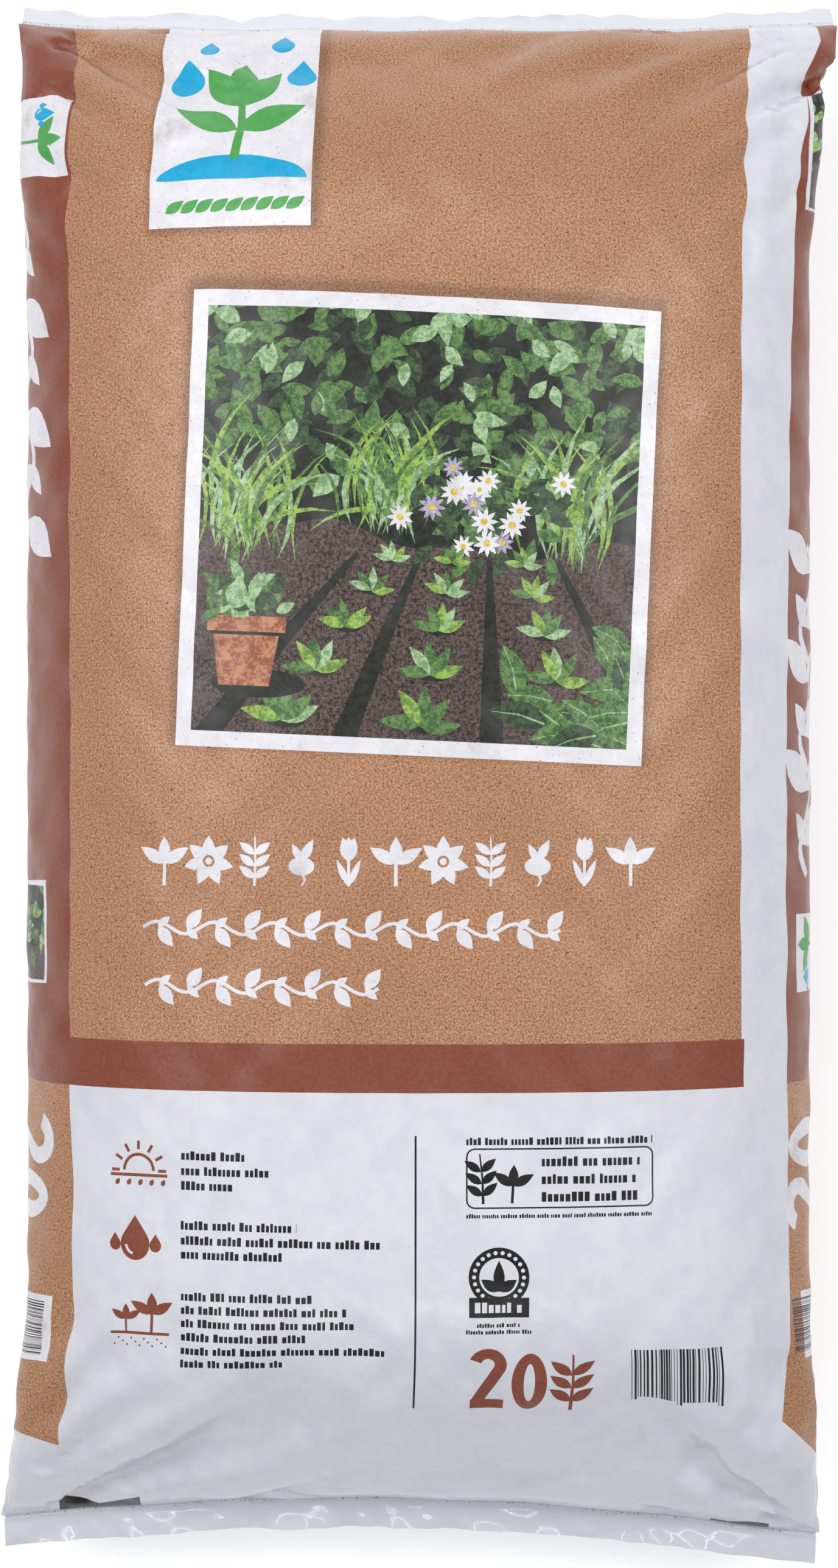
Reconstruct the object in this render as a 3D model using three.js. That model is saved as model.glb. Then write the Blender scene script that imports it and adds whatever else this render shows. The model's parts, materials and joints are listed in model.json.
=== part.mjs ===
// A filled 20 litre compost bag, lying on its back: one tube of polyethylene film with a gusset
// folded into each side, welded straight across at both ends, with a short fin of film beyond each
// weld. It is one piece, sealed and opaque, so it is one solid with the fill inside it.
// Millimetres. +X across the bag, +Y towards its top end, +Z up, origin on the floor under its middle.
import * as THREE from 'three';
import { mergeVertices } from 'three/addons/utils/BufferGeometryUtils.js';

// Film
const flatWidth = 308; // tube laid flat, fold to fold, and so the length of each weld
const gussetDepth = 32.6; // how far each side folds in between the front and the back
const weldSpan = 569; // from weld to weld, at the corners
const finLength = 13; // film left beyond each weld
const finThickness = 0.9; // the plies lying together in a fin
const weldWidth = 2.4; // the bead that the sealing bar leaves
const weldRidge = 0.45; // how far the bead stands out of the fin on each side
const weldWave = 1.1; // how far the weld waves up and down along its length
const weldWavePitch = 57; // from one wave to the next

// Filled body
const bodyHeight = 140; // floor to crown at mid length
const widestHeight = 60; // where the sides stand out furthest
const crownSquareness = 2.6; // exponent of the section above that height
const baseSquareness = 4.4; // exponent below it, squarer because the fill presses it out
const floorSettle = 1.2; // how deep the belly is pressed flat by the floor

// Ends
const weldHeight = 54; // of both welds above the floor
const crownRun = 118; // length over which the front rises from a weld to the crown
const baseRun = 100; // length over which the back drops from a weld to the floor
const gussetRun = 112; // length over which each gusset opens out
const flareRun = 80; // length by which the corners' flare to the full flat width has mostly faded
const endFullness = 0.72; // exponent of the end slopes, lower is blunter
const cornerDroop = 6; // how far the ends of each weld hang below its middle
const topWeldBow = 4.5; // how far the fill draws the middle of each weld in
const bottomWeldBow = 12;
const topBowSharpness = 4; // exponents of those bows along the weld
const bottomBowSharpness = 2;
const bowRun = 130; // length over which the bow fades into the body
const bottomWeldSkew = 7; // how far the bottom weld's right end lies below its left end
const topWeldShift = 3.6; // sideways shift of each weld from the body's middle line
const bottomWeldShift = -3.1;
const shiftRun = 70; // length over which the shift fades into the body
const topFinDroop = 52; // degrees that each fin hangs below level
const bottomFinDroop = 14;
const foldStart = 12; // length beside a weld in which the folds of the film grow from nothing

// Net of the surface
const panelSteps = 17; // from the middle of the front or back to a fold
const gussetSteps = 4; // from a fold to the middle of its gusset
const endSteps = 18; // stations over each end
const bodyStep = 27; // spacing of the stations between the ends
const outlineSteps = 720; // chords in the half section from which the film's places are read

// Larger folds and dents of the film, each along a line from one place to another. A place is
// given by its share of the panel's half width, 1 at the fold and more in the gusset, and by its
// distance from the nearer weld. lift is outwards, so valleys are negative.
const folds = [
  { end: 'bottom', from: [-0.78, 8], to: [-0.34, 44], width: 13, lift: -3.2 }, // valley at the left corner
  { end: 'bottom', from: [-0.86, 34], to: [-0.42, 74], width: 14, lift: 1.8 }, // ridge above it
  { end: 'bottom', from: [-0.94, 10], to: [-0.66, 30], width: 11, lift: 1.6 }, // ridge into the corner
  { end: 'bottom', from: [-0.44, 12], to: [-0.06, 46], width: 14, lift: 1.8 }, // ridge towards the middle
  { end: 'bottom', from: [0.84, 8], to: [0.5, 54], width: 12, lift: -3 }, // valley at the right corner
  { end: 'bottom', from: [0.98, 24], to: [0.66, 78], width: 14, lift: 2 }, // ridge beside it
  { end: 'bottom', from: [-1.16, 96], to: [-0.86, 92], width: 12, lift: -1.6 }, // pinch on the left side
  { end: 'bottom', from: [1.14, 62], to: [0.88, 54], width: 12, lift: -2.4 }, // pinch on the right side
  { end: 'top', from: [-0.8, 8], to: [-0.56, 44], width: 13, lift: -2 }, // valley at the left corner
  { end: 'top', from: [-1.14, 34], to: [-0.9, 62], width: 12, lift: -1.2 }, // dent on the left side
  { end: 'top', from: [0.78, 8], to: [0.52, 60], width: 13, lift: -2.2 }, // valley at the right corner
  { end: 'top', from: [1.16, 30], to: [0.92, 26], width: 12, lift: -3.2 }, // pinch on the right side
  { end: 'top', from: [1.12, 96], to: [0.86, 88], width: 14, lift: -1 }, // dent below it
];

const panelHalf = flatWidth / 2;
const halfGirth = flatWidth + 2 * gussetDepth;

// The right half of the filled section, from the crown down to the middle of the belly, as points
// with their distance along the film.
function sectionOutline(halfWidth) {
  const outline = [];
  let along = 0;
  for (let k = 0; k <= outlineSteps; k++) {
    const angle = (Math.PI * k) / outlineSteps;
    const up = Math.cos(angle);
    const isTop = up >= 0;
    const squareness = isTop ? crownSquareness : baseSquareness;
    const reach = isTop ? bodyHeight - widestHeight : widestHeight + floorSettle;
    const x = halfWidth * Math.sin(angle) ** (2 / squareness);
    const z = widestHeight + Math.sign(up) * reach * Math.abs(up) ** (2 / squareness);
    const point = { x, z: Math.max(z, 0), along: 0 };
    if (k > 0) {
      const last = outline[k - 1];
      along += Math.hypot(point.x - last.x, point.z - last.z);
    }
    point.along = along;
    outline.push(point);
  }
  return outline;
}

// The half width at which the section uses up exactly the film that the tube has.
function solveOutline() {
  let low = 0;
  let high = halfGirth;
  let outline = sectionOutline(high);
  for (let step = 0; step < 40; step++) {
    const middle = (low + high) / 2;
    outline = sectionOutline(middle);
    if (outline[outline.length - 1].along > halfGirth) high = middle;
    else low = middle;
  }
  return outline;
}

const outline = solveOutline();

// Where the film at this distance from the middle of the front lies in the filled section.
function filledAt(across) {
  const distance = Math.abs(across);
  let k = 1;
  while (k < outline.length - 1 && outline[k].along < distance) k++;
  const before = outline[k - 1];
  const after = outline[k];
  const share = THREE.MathUtils.clamp((distance - before.along) / (after.along - before.along || 1), 0, 1);
  return {
    x: Math.sign(across) * THREE.MathUtils.lerp(before.x, after.x, share),
    z: THREE.MathUtils.lerp(before.z, after.z, share),
  };
}

// Where the same film lies when the tube is folded flat, and how deep in the gusset it is, from 0
// on the front, the back and both folds to 1 at the middle of the gusset.
function foldedAt(across) {
  const distance = Math.abs(across);
  const side = Math.sign(across);
  const intoGusset = distance - panelHalf;
  if (intoGusset <= 0) return { x: across, depth: 0 };
  const inward = Math.min(intoGusset, 2 * gussetDepth - intoGusset);
  if (inward > 0) return { x: side * (panelHalf - inward), depth: inward / gussetDepth };
  return { x: side * (halfGirth - distance), depth: 0 };
}

// Film positions round the tube, starting at the middle of the front and running to the right.
function ringPositions() {
  const half = [];
  for (let k = 0; k < panelSteps; k++) half.push((panelHalf * k) / panelSteps);
  for (let k = 0; k < 2 * gussetSteps; k++) half.push(panelHalf + (gussetDepth * k) / gussetSteps);
  for (let k = 0; k <= panelSteps; k++) half.push(halfGirth - panelHalf + (panelHalf * k) / panelSteps);
  return [...half, ...half.slice(1, -1).reverse().map((across) => -across)];
}

// Distances from the bottom weld, close together at the ends and even between them.
function stationPositions() {
  const longestRun = Math.max(crownRun, baseRun, gussetRun);
  const end = [];
  for (let k = 1; k <= endSteps; k++) end.push(longestRun * (k / endSteps) ** 1.5);
  const middleLength = weldSpan - 2 * longestRun;
  const middleSteps = Math.max(1, Math.round(middleLength / bodyStep));
  const middle = [];
  for (let k = 1; k < middleSteps; k++) middle.push(longestRun + (middleLength * k) / middleSteps);
  return [...end, ...middle, ...end.map((distance) => weldSpan - distance).reverse()];
}

// Rises from 0 at the weld to 1 at the end of the run, steeply at first.
function endSlope(distance, run) {
  const share = Math.min(distance / run, 1);
  return (1 - (1 - share) ** 2) ** endFullness;
}

// Falls smoothly from 1 at the weld to 0 at the end of the run.
function fade(distance, run) {
  return 1 - THREE.MathUtils.smoothstep(distance, 0, run);
}

// How the nearer weld moves the film at this station: sideways, along the bag and down.
function weldPull(x, along) {
  const nearTop = along > weldSpan / 2;
  const distance = nearTop ? weldSpan - along : along;
  const share = THREE.MathUtils.clamp(x / panelHalf, -1, 1);
  const bow = nearTop
    ? -topWeldBow * (1 - Math.abs(share) ** topBowSharpness)
    : bottomWeldBow * (1 - Math.abs(share) ** bottomBowSharpness);
  const skew = nearTop ? 0 : (-bottomWeldSkew * share) / 2;
  const wave = weldWave * Math.sin((2 * Math.PI * x) / weldWavePitch);
  const droop = wave - cornerDroop * share ** 4;
  return {
    x: (nearTop ? topWeldShift : bottomWeldShift) * fade(distance, shiftRun),
    y: (bow + skew) * fade(distance, bowRun),
    z: droop * fade(distance, crownRun / 2),
  };
}

// A point of the filled film between the welds, before the folds are added.
function bodyPoint(across, along) {
  const distance = Math.min(along, weldSpan - along);
  const filled = filledAt(across);
  const folded = foldedAt(across);
  const flare = Math.exp(-distance / flareRun);
  const tuck = THREE.MathUtils.lerp(flare, fade(distance, gussetRun), folded.depth);
  const rise = filled.z - weldHeight;
  const x = THREE.MathUtils.lerp(filled.x, folded.x, tuck);
  const z = weldHeight + rise * endSlope(distance, rise > 0 ? crownRun : baseRun);
  const pull = weldPull(x, along);
  return new THREE.Vector3(x + pull.x, along + pull.y, Math.max(z + pull.z, 0));
}

// A point of a fin, where the plies lie together as one thin sheet. beyond is the distance past
// the weld, and face is 1 on the front of the sheet and -1 on its back.
function finPoint(across, beyond, isTop, thickness) {
  const folded = foldedAt(across);
  const face = Math.abs(across) < halfGirth / 2 ? 1 : -1;
  const x = folded.depth > 0 ? Math.sign(across) * panelHalf : folded.x;
  const along = isTop ? weldSpan : 0;
  const pull = weldPull(x, along);
  const droop = THREE.MathUtils.degToRad(isTop ? topFinDroop : bottomFinDroop);
  const outward = isTop ? 1 : -1;
  const offset = (face * thickness) / 2;
  return new THREE.Vector3(
    x + pull.x,
    along + pull.y + outward * (beyond * Math.cos(droop) + offset * Math.sin(droop)),
    weldHeight + pull.z - beyond * Math.sin(droop) + offset * Math.cos(droop),
  );
}

// The rings of a fin from its cut edge to the inner side of the weld bead.
function finRings(across, isTop) {
  const weldThickness = finThickness + 2 * weldRidge;
  const steps = [
    [finLength, finThickness],
    [finLength / 2, finThickness],
    [weldWidth, finThickness],
    [weldWidth * 0.75, weldThickness],
    [weldWidth * 0.25, weldThickness],
    [0, finThickness],
  ];
  const rings = steps.map(([beyond, thickness]) => across.map((a) => finPoint(a, beyond, isTop, thickness)));
  return isTop ? rings.reverse() : rings;
}

// How far the folds move the film outwards at one place.
function foldOffset(across, along) {
  let offset = 0;
  for (const fold of folds) {
    const fromWeld = fold.end === 'top' ? weldSpan - along : along;
    const startX = fold.from[0] * panelHalf;
    const runX = fold.to[0] * panelHalf - startX;
    const runY = fold.to[1] - fold.from[1];
    const share = ((across - startX) * runX + (fromWeld - fold.from[1]) * runY) / (runX ** 2 + runY ** 2);
    const nearest = THREE.MathUtils.clamp(share, 0, 1);
    const awayX = across - startX - nearest * runX;
    const awayY = fromWeld - fold.from[1] - nearest * runY;
    offset += fold.lift * Math.exp(-(awayX ** 2 + awayY ** 2) / fold.width ** 2);
  }
  const distance = Math.min(along, weldSpan - along);
  return offset * (1 - fade(distance, foldStart));
}

// Moves each body point along its normal by the folds, but leaves the belly flat on the floor.
function addFolds(rings, across, stations) {
  const count = across.length;
  return rings.map((ring, row) =>
    ring.map((point, column) => {
      if (point.z === 0) return point.clone();
      const above = rings[Math.min(row + 1, rings.length - 1)][column];
      const below = rings[Math.max(row - 1, 0)][column];
      const right = ring[(column + 1) % count];
      const left = ring[(column + count - 1) % count];
      const normal = right.clone().sub(left).cross(above.clone().sub(below)).normalize();
      const moved = point.clone().addScaledVector(normal, foldOffset(across[column], stations[row]));
      moved.z = Math.max(moved.z, 0);
      return moved;
    }),
  );
}

// Joins the rings with quads and closes both cut edges, with outward faces.
function closeSurface(rings, across) {
  const count = across.length;
  const vertices = rings.flat();
  const triangles = [];
  const quad = (a, b, c, d) => triangles.push(a, b, c, a, c, d);
  for (let row = 0; row < rings.length - 1; row++) {
    for (let column = 0; column < count; column++) {
      const next = (column + 1) % count;
      quad(row * count + column, row * count + next, (row + 1) * count + next, (row + 1) * count + column);
    }
  }
  const lastRow = (rings.length - 1) * count;
  for (let k = -panelSteps; k < panelSteps; k++) {
    const front = (k + count) % count;
    const frontNext = (k + 1 + count) % count;
    const back = count / 2 - k;
    quad(front, back, back - 1, frontNext);
    quad(lastRow + front, lastRow + frontNext, lastRow + back - 1, lastRow + back);
  }
  const positions = vertices.flatMap((vertex) => vertex.toArray());
  const geometry = new THREE.BufferGeometry();
  geometry.setAttribute('position', new THREE.Float32BufferAttribute(positions, 3));
  geometry.setIndex(triangles);
  return withoutSlivers(mergeVertices(geometry, 1e-3));
}

// Drops the triangles that merging has closed up.
function withoutSlivers(geometry) {
  const index = geometry.index.array;
  const kept = [];
  for (let k = 0; k < index.length; k += 3) {
    const [a, b, c] = [index[k], index[k + 1], index[k + 2]];
    if (a !== b && b !== c && c !== a) kept.push(a, b, c);
  }
  geometry.setIndex(kept);
  return geometry;
}

// The whole bag, moved so that its back lies on the floor and its middle is over the origin.
function bagGeometry() {
  const across = ringPositions();
  const stations = stationPositions();
  const smooth = stations.map((along) => across.map((a) => bodyPoint(a, along)));
  const body = addFolds(smooth, across, stations);
  const rings = [...finRings(across, false), ...body, ...finRings(across, true)];
  const geometry = closeSurface(rings, across);
  geometry.computeBoundingBox();
  const middle = geometry.boundingBox.getCenter(new THREE.Vector3());
  geometry.translate(-middle.x, -middle.y, -geometry.boundingBox.min.z);
  geometry.computeVertexNormals();
  return geometry;
}

const printedFilm = new THREE.MeshStandardMaterial({ color: 0xb08463, roughness: 0.42, metalness: 0 });
const bag = new THREE.Mesh(bagGeometry(), printedFilm);
bag.name = 'bag';

const part = new THREE.Group();
part.name = 'compost_bag';
part.add(bag);

export default part;
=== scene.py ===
"""A filled compost bag of printed polyethylene film, lying on its back on a pale studio floor."""
import json
import logging
import math
from collections.abc import Iterable, Sequence
from dataclasses import dataclass, field, replace
from enum import Enum
from functools import partial

import bpy
import numpy as np
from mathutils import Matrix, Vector
from mathutils.geometry import delaunay_2d_cdt

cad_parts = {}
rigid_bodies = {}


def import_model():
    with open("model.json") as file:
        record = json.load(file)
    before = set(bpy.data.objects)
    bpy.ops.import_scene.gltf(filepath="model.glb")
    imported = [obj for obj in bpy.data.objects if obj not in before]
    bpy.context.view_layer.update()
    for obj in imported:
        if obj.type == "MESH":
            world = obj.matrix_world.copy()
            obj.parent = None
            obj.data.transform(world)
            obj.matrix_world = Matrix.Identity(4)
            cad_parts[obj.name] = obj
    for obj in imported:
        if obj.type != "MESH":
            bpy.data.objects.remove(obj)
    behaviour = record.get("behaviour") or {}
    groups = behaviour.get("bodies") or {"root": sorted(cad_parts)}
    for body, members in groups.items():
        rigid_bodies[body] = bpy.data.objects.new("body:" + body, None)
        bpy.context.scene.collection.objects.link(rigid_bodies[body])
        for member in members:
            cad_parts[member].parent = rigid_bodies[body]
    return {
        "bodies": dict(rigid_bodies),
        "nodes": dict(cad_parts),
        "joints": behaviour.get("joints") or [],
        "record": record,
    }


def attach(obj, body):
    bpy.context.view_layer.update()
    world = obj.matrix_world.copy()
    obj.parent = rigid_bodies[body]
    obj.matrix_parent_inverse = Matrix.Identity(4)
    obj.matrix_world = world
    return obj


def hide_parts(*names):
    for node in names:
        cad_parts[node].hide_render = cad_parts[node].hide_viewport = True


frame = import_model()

LOG = logging.getLogger("compost_bag")
MM = 0.001
EDGE_MARGIN = 1.0  # millimetres of the texture left free beyond each cut edge
NEAR = 1e-6  # millimetres within which two places of the flat film are one
SEAM_NEAR = 1e-3  # the same after the film is cut
TINY = 1e-9  # keeps a length that is divided by from being zero

Point = tuple[float, float]
Outline = tuple[Point, ...]


class End(Enum):
    """The two welded ends of the bag."""

    BOTTOM = "bottom"
    TOP = "top"


@dataclass(frozen=True)
class Fold:
    """A fold, dent or crease of the film along a straight line.

    A place is given by its share of the panel's half width, 1 at the fold of the tube and more in
    the gusset, and by its distance from the nearer weld in millimetres. lift is outwards.
    """

    end: End
    start: tuple[float, float]
    stop: tuple[float, float]
    width: float
    lift: float


@dataclass(frozen=True)
class BagSizes:
    """Sizes of the film and of the filled body in millimetres, as the CAD part has them."""

    flat_width: float = 308.0
    gusset_depth: float = 32.6
    weld_span: float = 569.0
    fin_length: float = 13.0
    fin_thickness: float = 0.9
    weld_width: float = 2.4
    weld_ridge: float = 0.45
    weld_wave: float = 1.1
    weld_wave_pitch: float = 57.0
    body_height: float = 140.0
    widest_height: float = 60.0
    crown_squareness: float = 2.6
    base_squareness: float = 4.4
    floor_settle: float = 1.2
    weld_height: float = 54.0
    crown_run: float = 118.0
    base_run: float = 100.0
    gusset_run: float = 112.0
    flare_run: float = 80.0
    end_fullness: float = 0.72
    corner_droop: float = 6.0
    top_weld_bow: float = 4.5
    bottom_weld_bow: float = 12.0
    top_bow_sharpness: float = 4.0
    bottom_bow_sharpness: float = 2.0
    bow_run: float = 130.0
    bottom_weld_skew: float = 7.0
    top_weld_shift: float = 3.6
    bottom_weld_shift: float = -3.1
    shift_run: float = 70.0
    top_fin_droop: float = 52.0
    bottom_fin_droop: float = 14.0
    fold_start: float = 12.0
    tuck_run: float = 40.0

    @property
    def panel_half(self) -> float:
        """Half the width of the front or the back panel."""
        return self.flat_width / 2

    @property
    def half_girth(self) -> float:
        """Half the way round the tube."""
        return self.flat_width + 2 * self.gusset_depth


# The larger folds of the solid part, which the film's wrinkles are laid over.
LARGE_FOLDS = (
    Fold(End.BOTTOM, (-0.78, 8), (-0.34, 44), 13, -3.2),
    Fold(End.BOTTOM, (-0.86, 34), (-0.42, 74), 14, 1.8),
    Fold(End.BOTTOM, (-0.94, 10), (-0.66, 30), 11, 1.6),
    Fold(End.BOTTOM, (-0.44, 12), (-0.06, 46), 14, 1.8),
    Fold(End.BOTTOM, (0.84, 8), (0.5, 54), 12, -3),
    Fold(End.BOTTOM, (0.98, 24), (0.66, 78), 14, 2),
    Fold(End.BOTTOM, (-1.16, 96), (-0.86, 92), 12, -1.6),
    Fold(End.BOTTOM, (1.14, 62), (0.88, 54), 12, -2.4),
    Fold(End.TOP, (-0.8, 8), (-0.56, 44), 13, -2),
    Fold(End.TOP, (-1.14, 34), (-0.9, 62), 12, -1.2),
    Fold(End.TOP, (0.78, 8), (0.52, 60), 13, -2.2),
    Fold(End.TOP, (1.16, 30), (0.92, 26), 12, -3.2),
    Fold(End.TOP, (1.12, 96), (0.86, 88), 14, -1),
)


# Narrow creases of the film itself.
SMALL_CREASES = (
    Fold(End.BOTTOM, (0.62, 14), (0.9, 70), 4, -1.5),
    Fold(End.BOTTOM, (0.7, 12), (0.96, 52), 4, 1.1),
    Fold(End.BOTTOM, (0.76, 40), (0.8, 92), 4, 0.9),
    Fold(End.BOTTOM, (0.46, 10), (0.7, 26), 4, -1.0),
    Fold(End.BOTTOM, (-0.7, 12), (-0.5, 30), 4, -1.4),
    Fold(End.BOTTOM, (-0.5, 16), (-0.2, 36), 5, 0.9),
    Fold(End.BOTTOM, (-0.92, 12), (-0.7, 26), 4, -1.2),
    Fold(End.BOTTOM, (-0.9, 22), (-0.72, 60), 4, 1.1),
    Fold(End.BOTTOM, (0.1, 10), (0.3, 40), 6, -0.6),
    Fold(End.TOP, (-0.86, 8), (-0.7, 34), 4, -1.3),
    Fold(End.TOP, (0.4, 8), (0.34, 36), 6, 0.8),
    Fold(End.TOP, (0.84, 44), (0.82, 104), 3.6, 1.4),
    Fold(End.TOP, (1.0, 20), (0.86, 34), 4, -1.4),
)


def fade(distance: np.ndarray, run: float) -> np.ndarray:
    """Fall smoothly from 1 at the weld to 0 at the end of the run."""
    share = np.clip(distance / run, 0, 1)
    return 1 - share * share * (3 - 2 * share)


def blend(low: np.ndarray, high: np.ndarray, share: np.ndarray) -> np.ndarray:
    """Mix two values by a share from 0 to 1."""
    return low + (high - low) * share


def zigzag(turn: np.ndarray) -> np.ndarray:
    """A wave from -1 to 1 with straight flanks, as crumpled film has."""
    return 2 / math.pi * np.arcsin(np.sin(turn))


@dataclass(frozen=True)
class FinWave:
    """One zigzag wave of the loose film of a fin, in millimetres for each radian of its turn.

    sway bends its crests to and fro along the fin, and shift says how far the end's own phase
    moves the wave.
    """

    pitch: float
    pitch_beyond: float
    sway: float
    sway_pitch: float
    sway_shift: float
    shift: float
    height: float


FIN_WAVES = (
    FinWave(8.3, 7.0, 1.9, 31, 1, 0, 1.2),
    FinWave(2.6, -3.6, 2.3, 17, 2, 0, 0.65),
    FinWave(7.1, 1.9, 1.4, 11, 0, 1, 0.6),
)
FIN_PHASES = {End.TOP: 1.7, End.BOTTOM: 0.4}


@dataclass
class FilledTube:
    """The film tube filled with compost: where each place of the flat film ends up.

    across is measured round the tube from the middle of the front, and along from the bottom weld
    as it lies in plan. length is the film's own length from that weld, up the middle of the front.
    """

    sizes: BagSizes
    samples: int = 2001
    halvings: int = 40

    def __post_init__(self) -> None:
        """Solve the section and measure the film's length."""
        self.outline = self._solve_outline()
        self.plan = np.linspace(0, self.sizes.weld_span, self.samples)
        middle = self._smooth_point(np.zeros(1), self.plan[:, None])[:, 0]
        steps = np.linalg.norm(np.diff(middle, axis=0), axis=1)
        self.length = np.concatenate([[0], np.cumsum(steps)])

    @property
    def film_length(self) -> float:
        """The film's length from weld to weld."""
        return float(self.length[-1])

    def along_of(self, length: np.ndarray) -> np.ndarray:
        """The plan distance from the bottom weld at a length of film."""
        return np.interp(length, self.length, self.plan)

    def _section(self, half_width: float) -> tuple[np.ndarray, np.ndarray, np.ndarray]:
        """The right half of the filled section from the crown to the belly, by length of film.

        Args:
            half_width: Half the section's width.

        Returns:
            Places across, heights, and lengths of film from the crown.
        """
        s = self.sizes
        angle = np.linspace(0, math.pi, self.samples)
        up = np.cos(angle)
        squareness = np.where(up >= 0, s.crown_squareness, s.base_squareness)
        reach = np.where(up >= 0, s.body_height - s.widest_height, s.widest_height + s.floor_settle)
        x = half_width * np.sin(angle).clip(0) ** (2 / squareness)
        z = (s.widest_height + np.sign(up) * reach * np.abs(up) ** (2 / squareness)).clip(0)
        along = np.concatenate([[0], np.cumsum(np.hypot(np.diff(x), np.diff(z)))])
        return x, z, along

    def _solve_outline(self) -> tuple[np.ndarray, np.ndarray, np.ndarray]:
        """The section whose girth is exactly the film's.

        Returns:
            The section as _section gives it.
        """
        low, high = 0.0, self.sizes.half_girth
        for _ in range(self.halvings):
            middle = (low + high) / 2
            if self._section(middle)[2][-1] > self.sizes.half_girth:
                high = middle
            else:
                low = middle
        return self._section(low)

    def _filled(self, across: np.ndarray) -> tuple[np.ndarray, np.ndarray]:
        """Where the film lies in the filled section.

        Args:
            across: Places round the tube.

        Returns:
            Places across and heights.
        """
        x, z, along = self.outline
        distance = np.abs(across)
        return np.sign(across) * np.interp(distance, along, x), np.interp(distance, along, z)

    def _folded(self, across: np.ndarray) -> tuple[np.ndarray, np.ndarray]:
        """Where the film lies in the flat tube, and how deep in a gusset from 0 to 1.

        Args:
            across: Places round the tube.

        Returns:
            Places across, and depths.
        """
        s = self.sizes
        distance = np.abs(across)
        into = distance - s.panel_half
        inward = np.minimum(into, 2 * s.gusset_depth - into).clip(0)
        x = np.where(into <= 2 * s.gusset_depth, s.panel_half - inward, s.half_girth - distance)
        x = np.where(into <= 0, distance, x)
        return np.sign(across) * x, inward / s.gusset_depth

    def _pull(self, x: np.ndarray, along: np.ndarray) -> tuple[np.ndarray, np.ndarray, np.ndarray]:
        """How the nearer weld moves the film, sideways, along the bag and up.

        Args:
            x: Places across the flat tube.
            along: Places along the bag.

        Returns:
            The three movements.
        """
        s = self.sizes
        near_top = along > s.weld_span / 2
        distance = np.where(near_top, s.weld_span - along, along)
        share = np.clip(x / s.panel_half, -1, 1)
        top_bow = -s.top_weld_bow * (1 - np.abs(share) ** s.top_bow_sharpness)
        bottom_bow = s.bottom_weld_bow * (1 - np.abs(share) ** s.bottom_bow_sharpness)
        skew = -s.bottom_weld_skew * share / 2
        wave = s.weld_wave * np.sin(2 * math.pi * x / s.weld_wave_pitch)
        return (
            np.where(near_top, s.top_weld_shift, s.bottom_weld_shift) * fade(distance, s.shift_run),
            np.where(near_top, top_bow, bottom_bow + skew) * fade(distance, s.bow_run),
            (wave - s.corner_droop * share**4) * fade(distance, s.crown_run / 2),
        )

    def _smooth_point(self, across: np.ndarray, along: np.ndarray) -> np.ndarray:
        """Points of the filled film between the welds, without its folds.

        Args:
            across: Places round the tube.
            along: Places along the bag.

        Returns:
            The points.
        """
        s = self.sizes
        distance = np.minimum(along, s.weld_span - along)
        filled_x, filled_z = self._filled(across)
        folded_x, depth = self._folded(across)
        flare = np.exp(-distance / s.flare_run)
        tuck = blend(flare, fade(distance, s.gusset_run), depth)
        rise = filled_z - s.weld_height
        run = np.where(rise > 0, s.crown_run, s.base_run)
        slope = (1 - (1 - np.clip(distance / run, 0, 1)) ** 2) ** s.end_fullness
        x = blend(filled_x, folded_x, tuck)
        move_x, move_y, move_z = self._pull(x, along)
        z = (s.weld_height + rise * slope + move_z).clip(0)
        return np.stack([x + move_x, along + move_y, z], axis=-1)

    def fold_lift(self, across: np.ndarray, along: np.ndarray, folds: tuple[Fold, ...]) -> np.ndarray:
        """How far folds move the film outwards.

        Args:
            across: Places round the tube.
            along: Places along the bag.
            folds: The folds to add up.

        Returns:
            The movement along the normal in millimetres.
        """
        s = self.sizes
        lift = np.zeros(np.broadcast(across, along).shape)
        for fold in folds:
            from_weld = s.weld_span - along if fold.end is End.TOP else along
            start_x = fold.start[0] * s.panel_half
            run_x = fold.stop[0] * s.panel_half - start_x
            run_y = fold.stop[1] - fold.start[1]
            square = run_x**2 + run_y**2
            share = ((across - start_x) * run_x + (from_weld - fold.start[1]) * run_y) / square
            nearest = np.clip(share, 0, 1)
            away_x = across - start_x - nearest * run_x
            away_y = from_weld - fold.start[1] - nearest * run_y
            lift = lift + fold.lift * np.exp(-(away_x**2 + away_y**2) / fold.width**2)
        distance = np.minimum(along, s.weld_span - along)
        return lift * (1 - fade(distance, s.fold_start))

    def body(self, across: np.ndarray, length: np.ndarray) -> np.ndarray:
        """Points of the filled film on a grid, with the large folds.

        Args:
            across: Evenly spaced places round the whole tube.
            length: Lengths of film from the bottom weld.

        Returns:
            An array of rows by columns by 3, in millimetres, before it is centred.
        """
        along = self.along_of(length)[:, None]
        points = self._smooth_point(across[None, :], along)
        lift = self.fold_lift(across[None, :], along, LARGE_FOLDS)
        moved = points + normals_of(points) * lift[..., None]
        moved[..., 2] = np.where(points[..., 2] == 0, 0, moved[..., 2].clip(0))
        return moved

    def tucked(self, across: np.ndarray, length: np.ndarray) -> np.ndarray:
        """How far gusset film is shut in between the front and the back, from 0 to 1.

        Args:
            across: Places round the tube.
            length: Lengths of film from the bottom weld.

        Returns:
            An array of rows by columns.
        """
        along = self.along_of(length)[:, None]
        distance = np.minimum(along, self.sizes.weld_span - along)
        depth = self._folded(across)[1][None, :]
        return np.clip(3 * depth, 0, 1) * fade(distance, self.sizes.tuck_run)

    def ply_offset(self, across: np.ndarray) -> np.ndarray:
        """Which way a ply lies out of the middle of the flat tube: 1 on the front, -1 on the back.

        Args:
            across: Places round the tube.

        Returns:
            The ply's side at each place.
        """
        s = self.sizes
        into = (np.abs(across) - s.panel_half) / (2 * s.gusset_depth)
        return 1 - 2 * np.clip(into, 0, 1)

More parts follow.
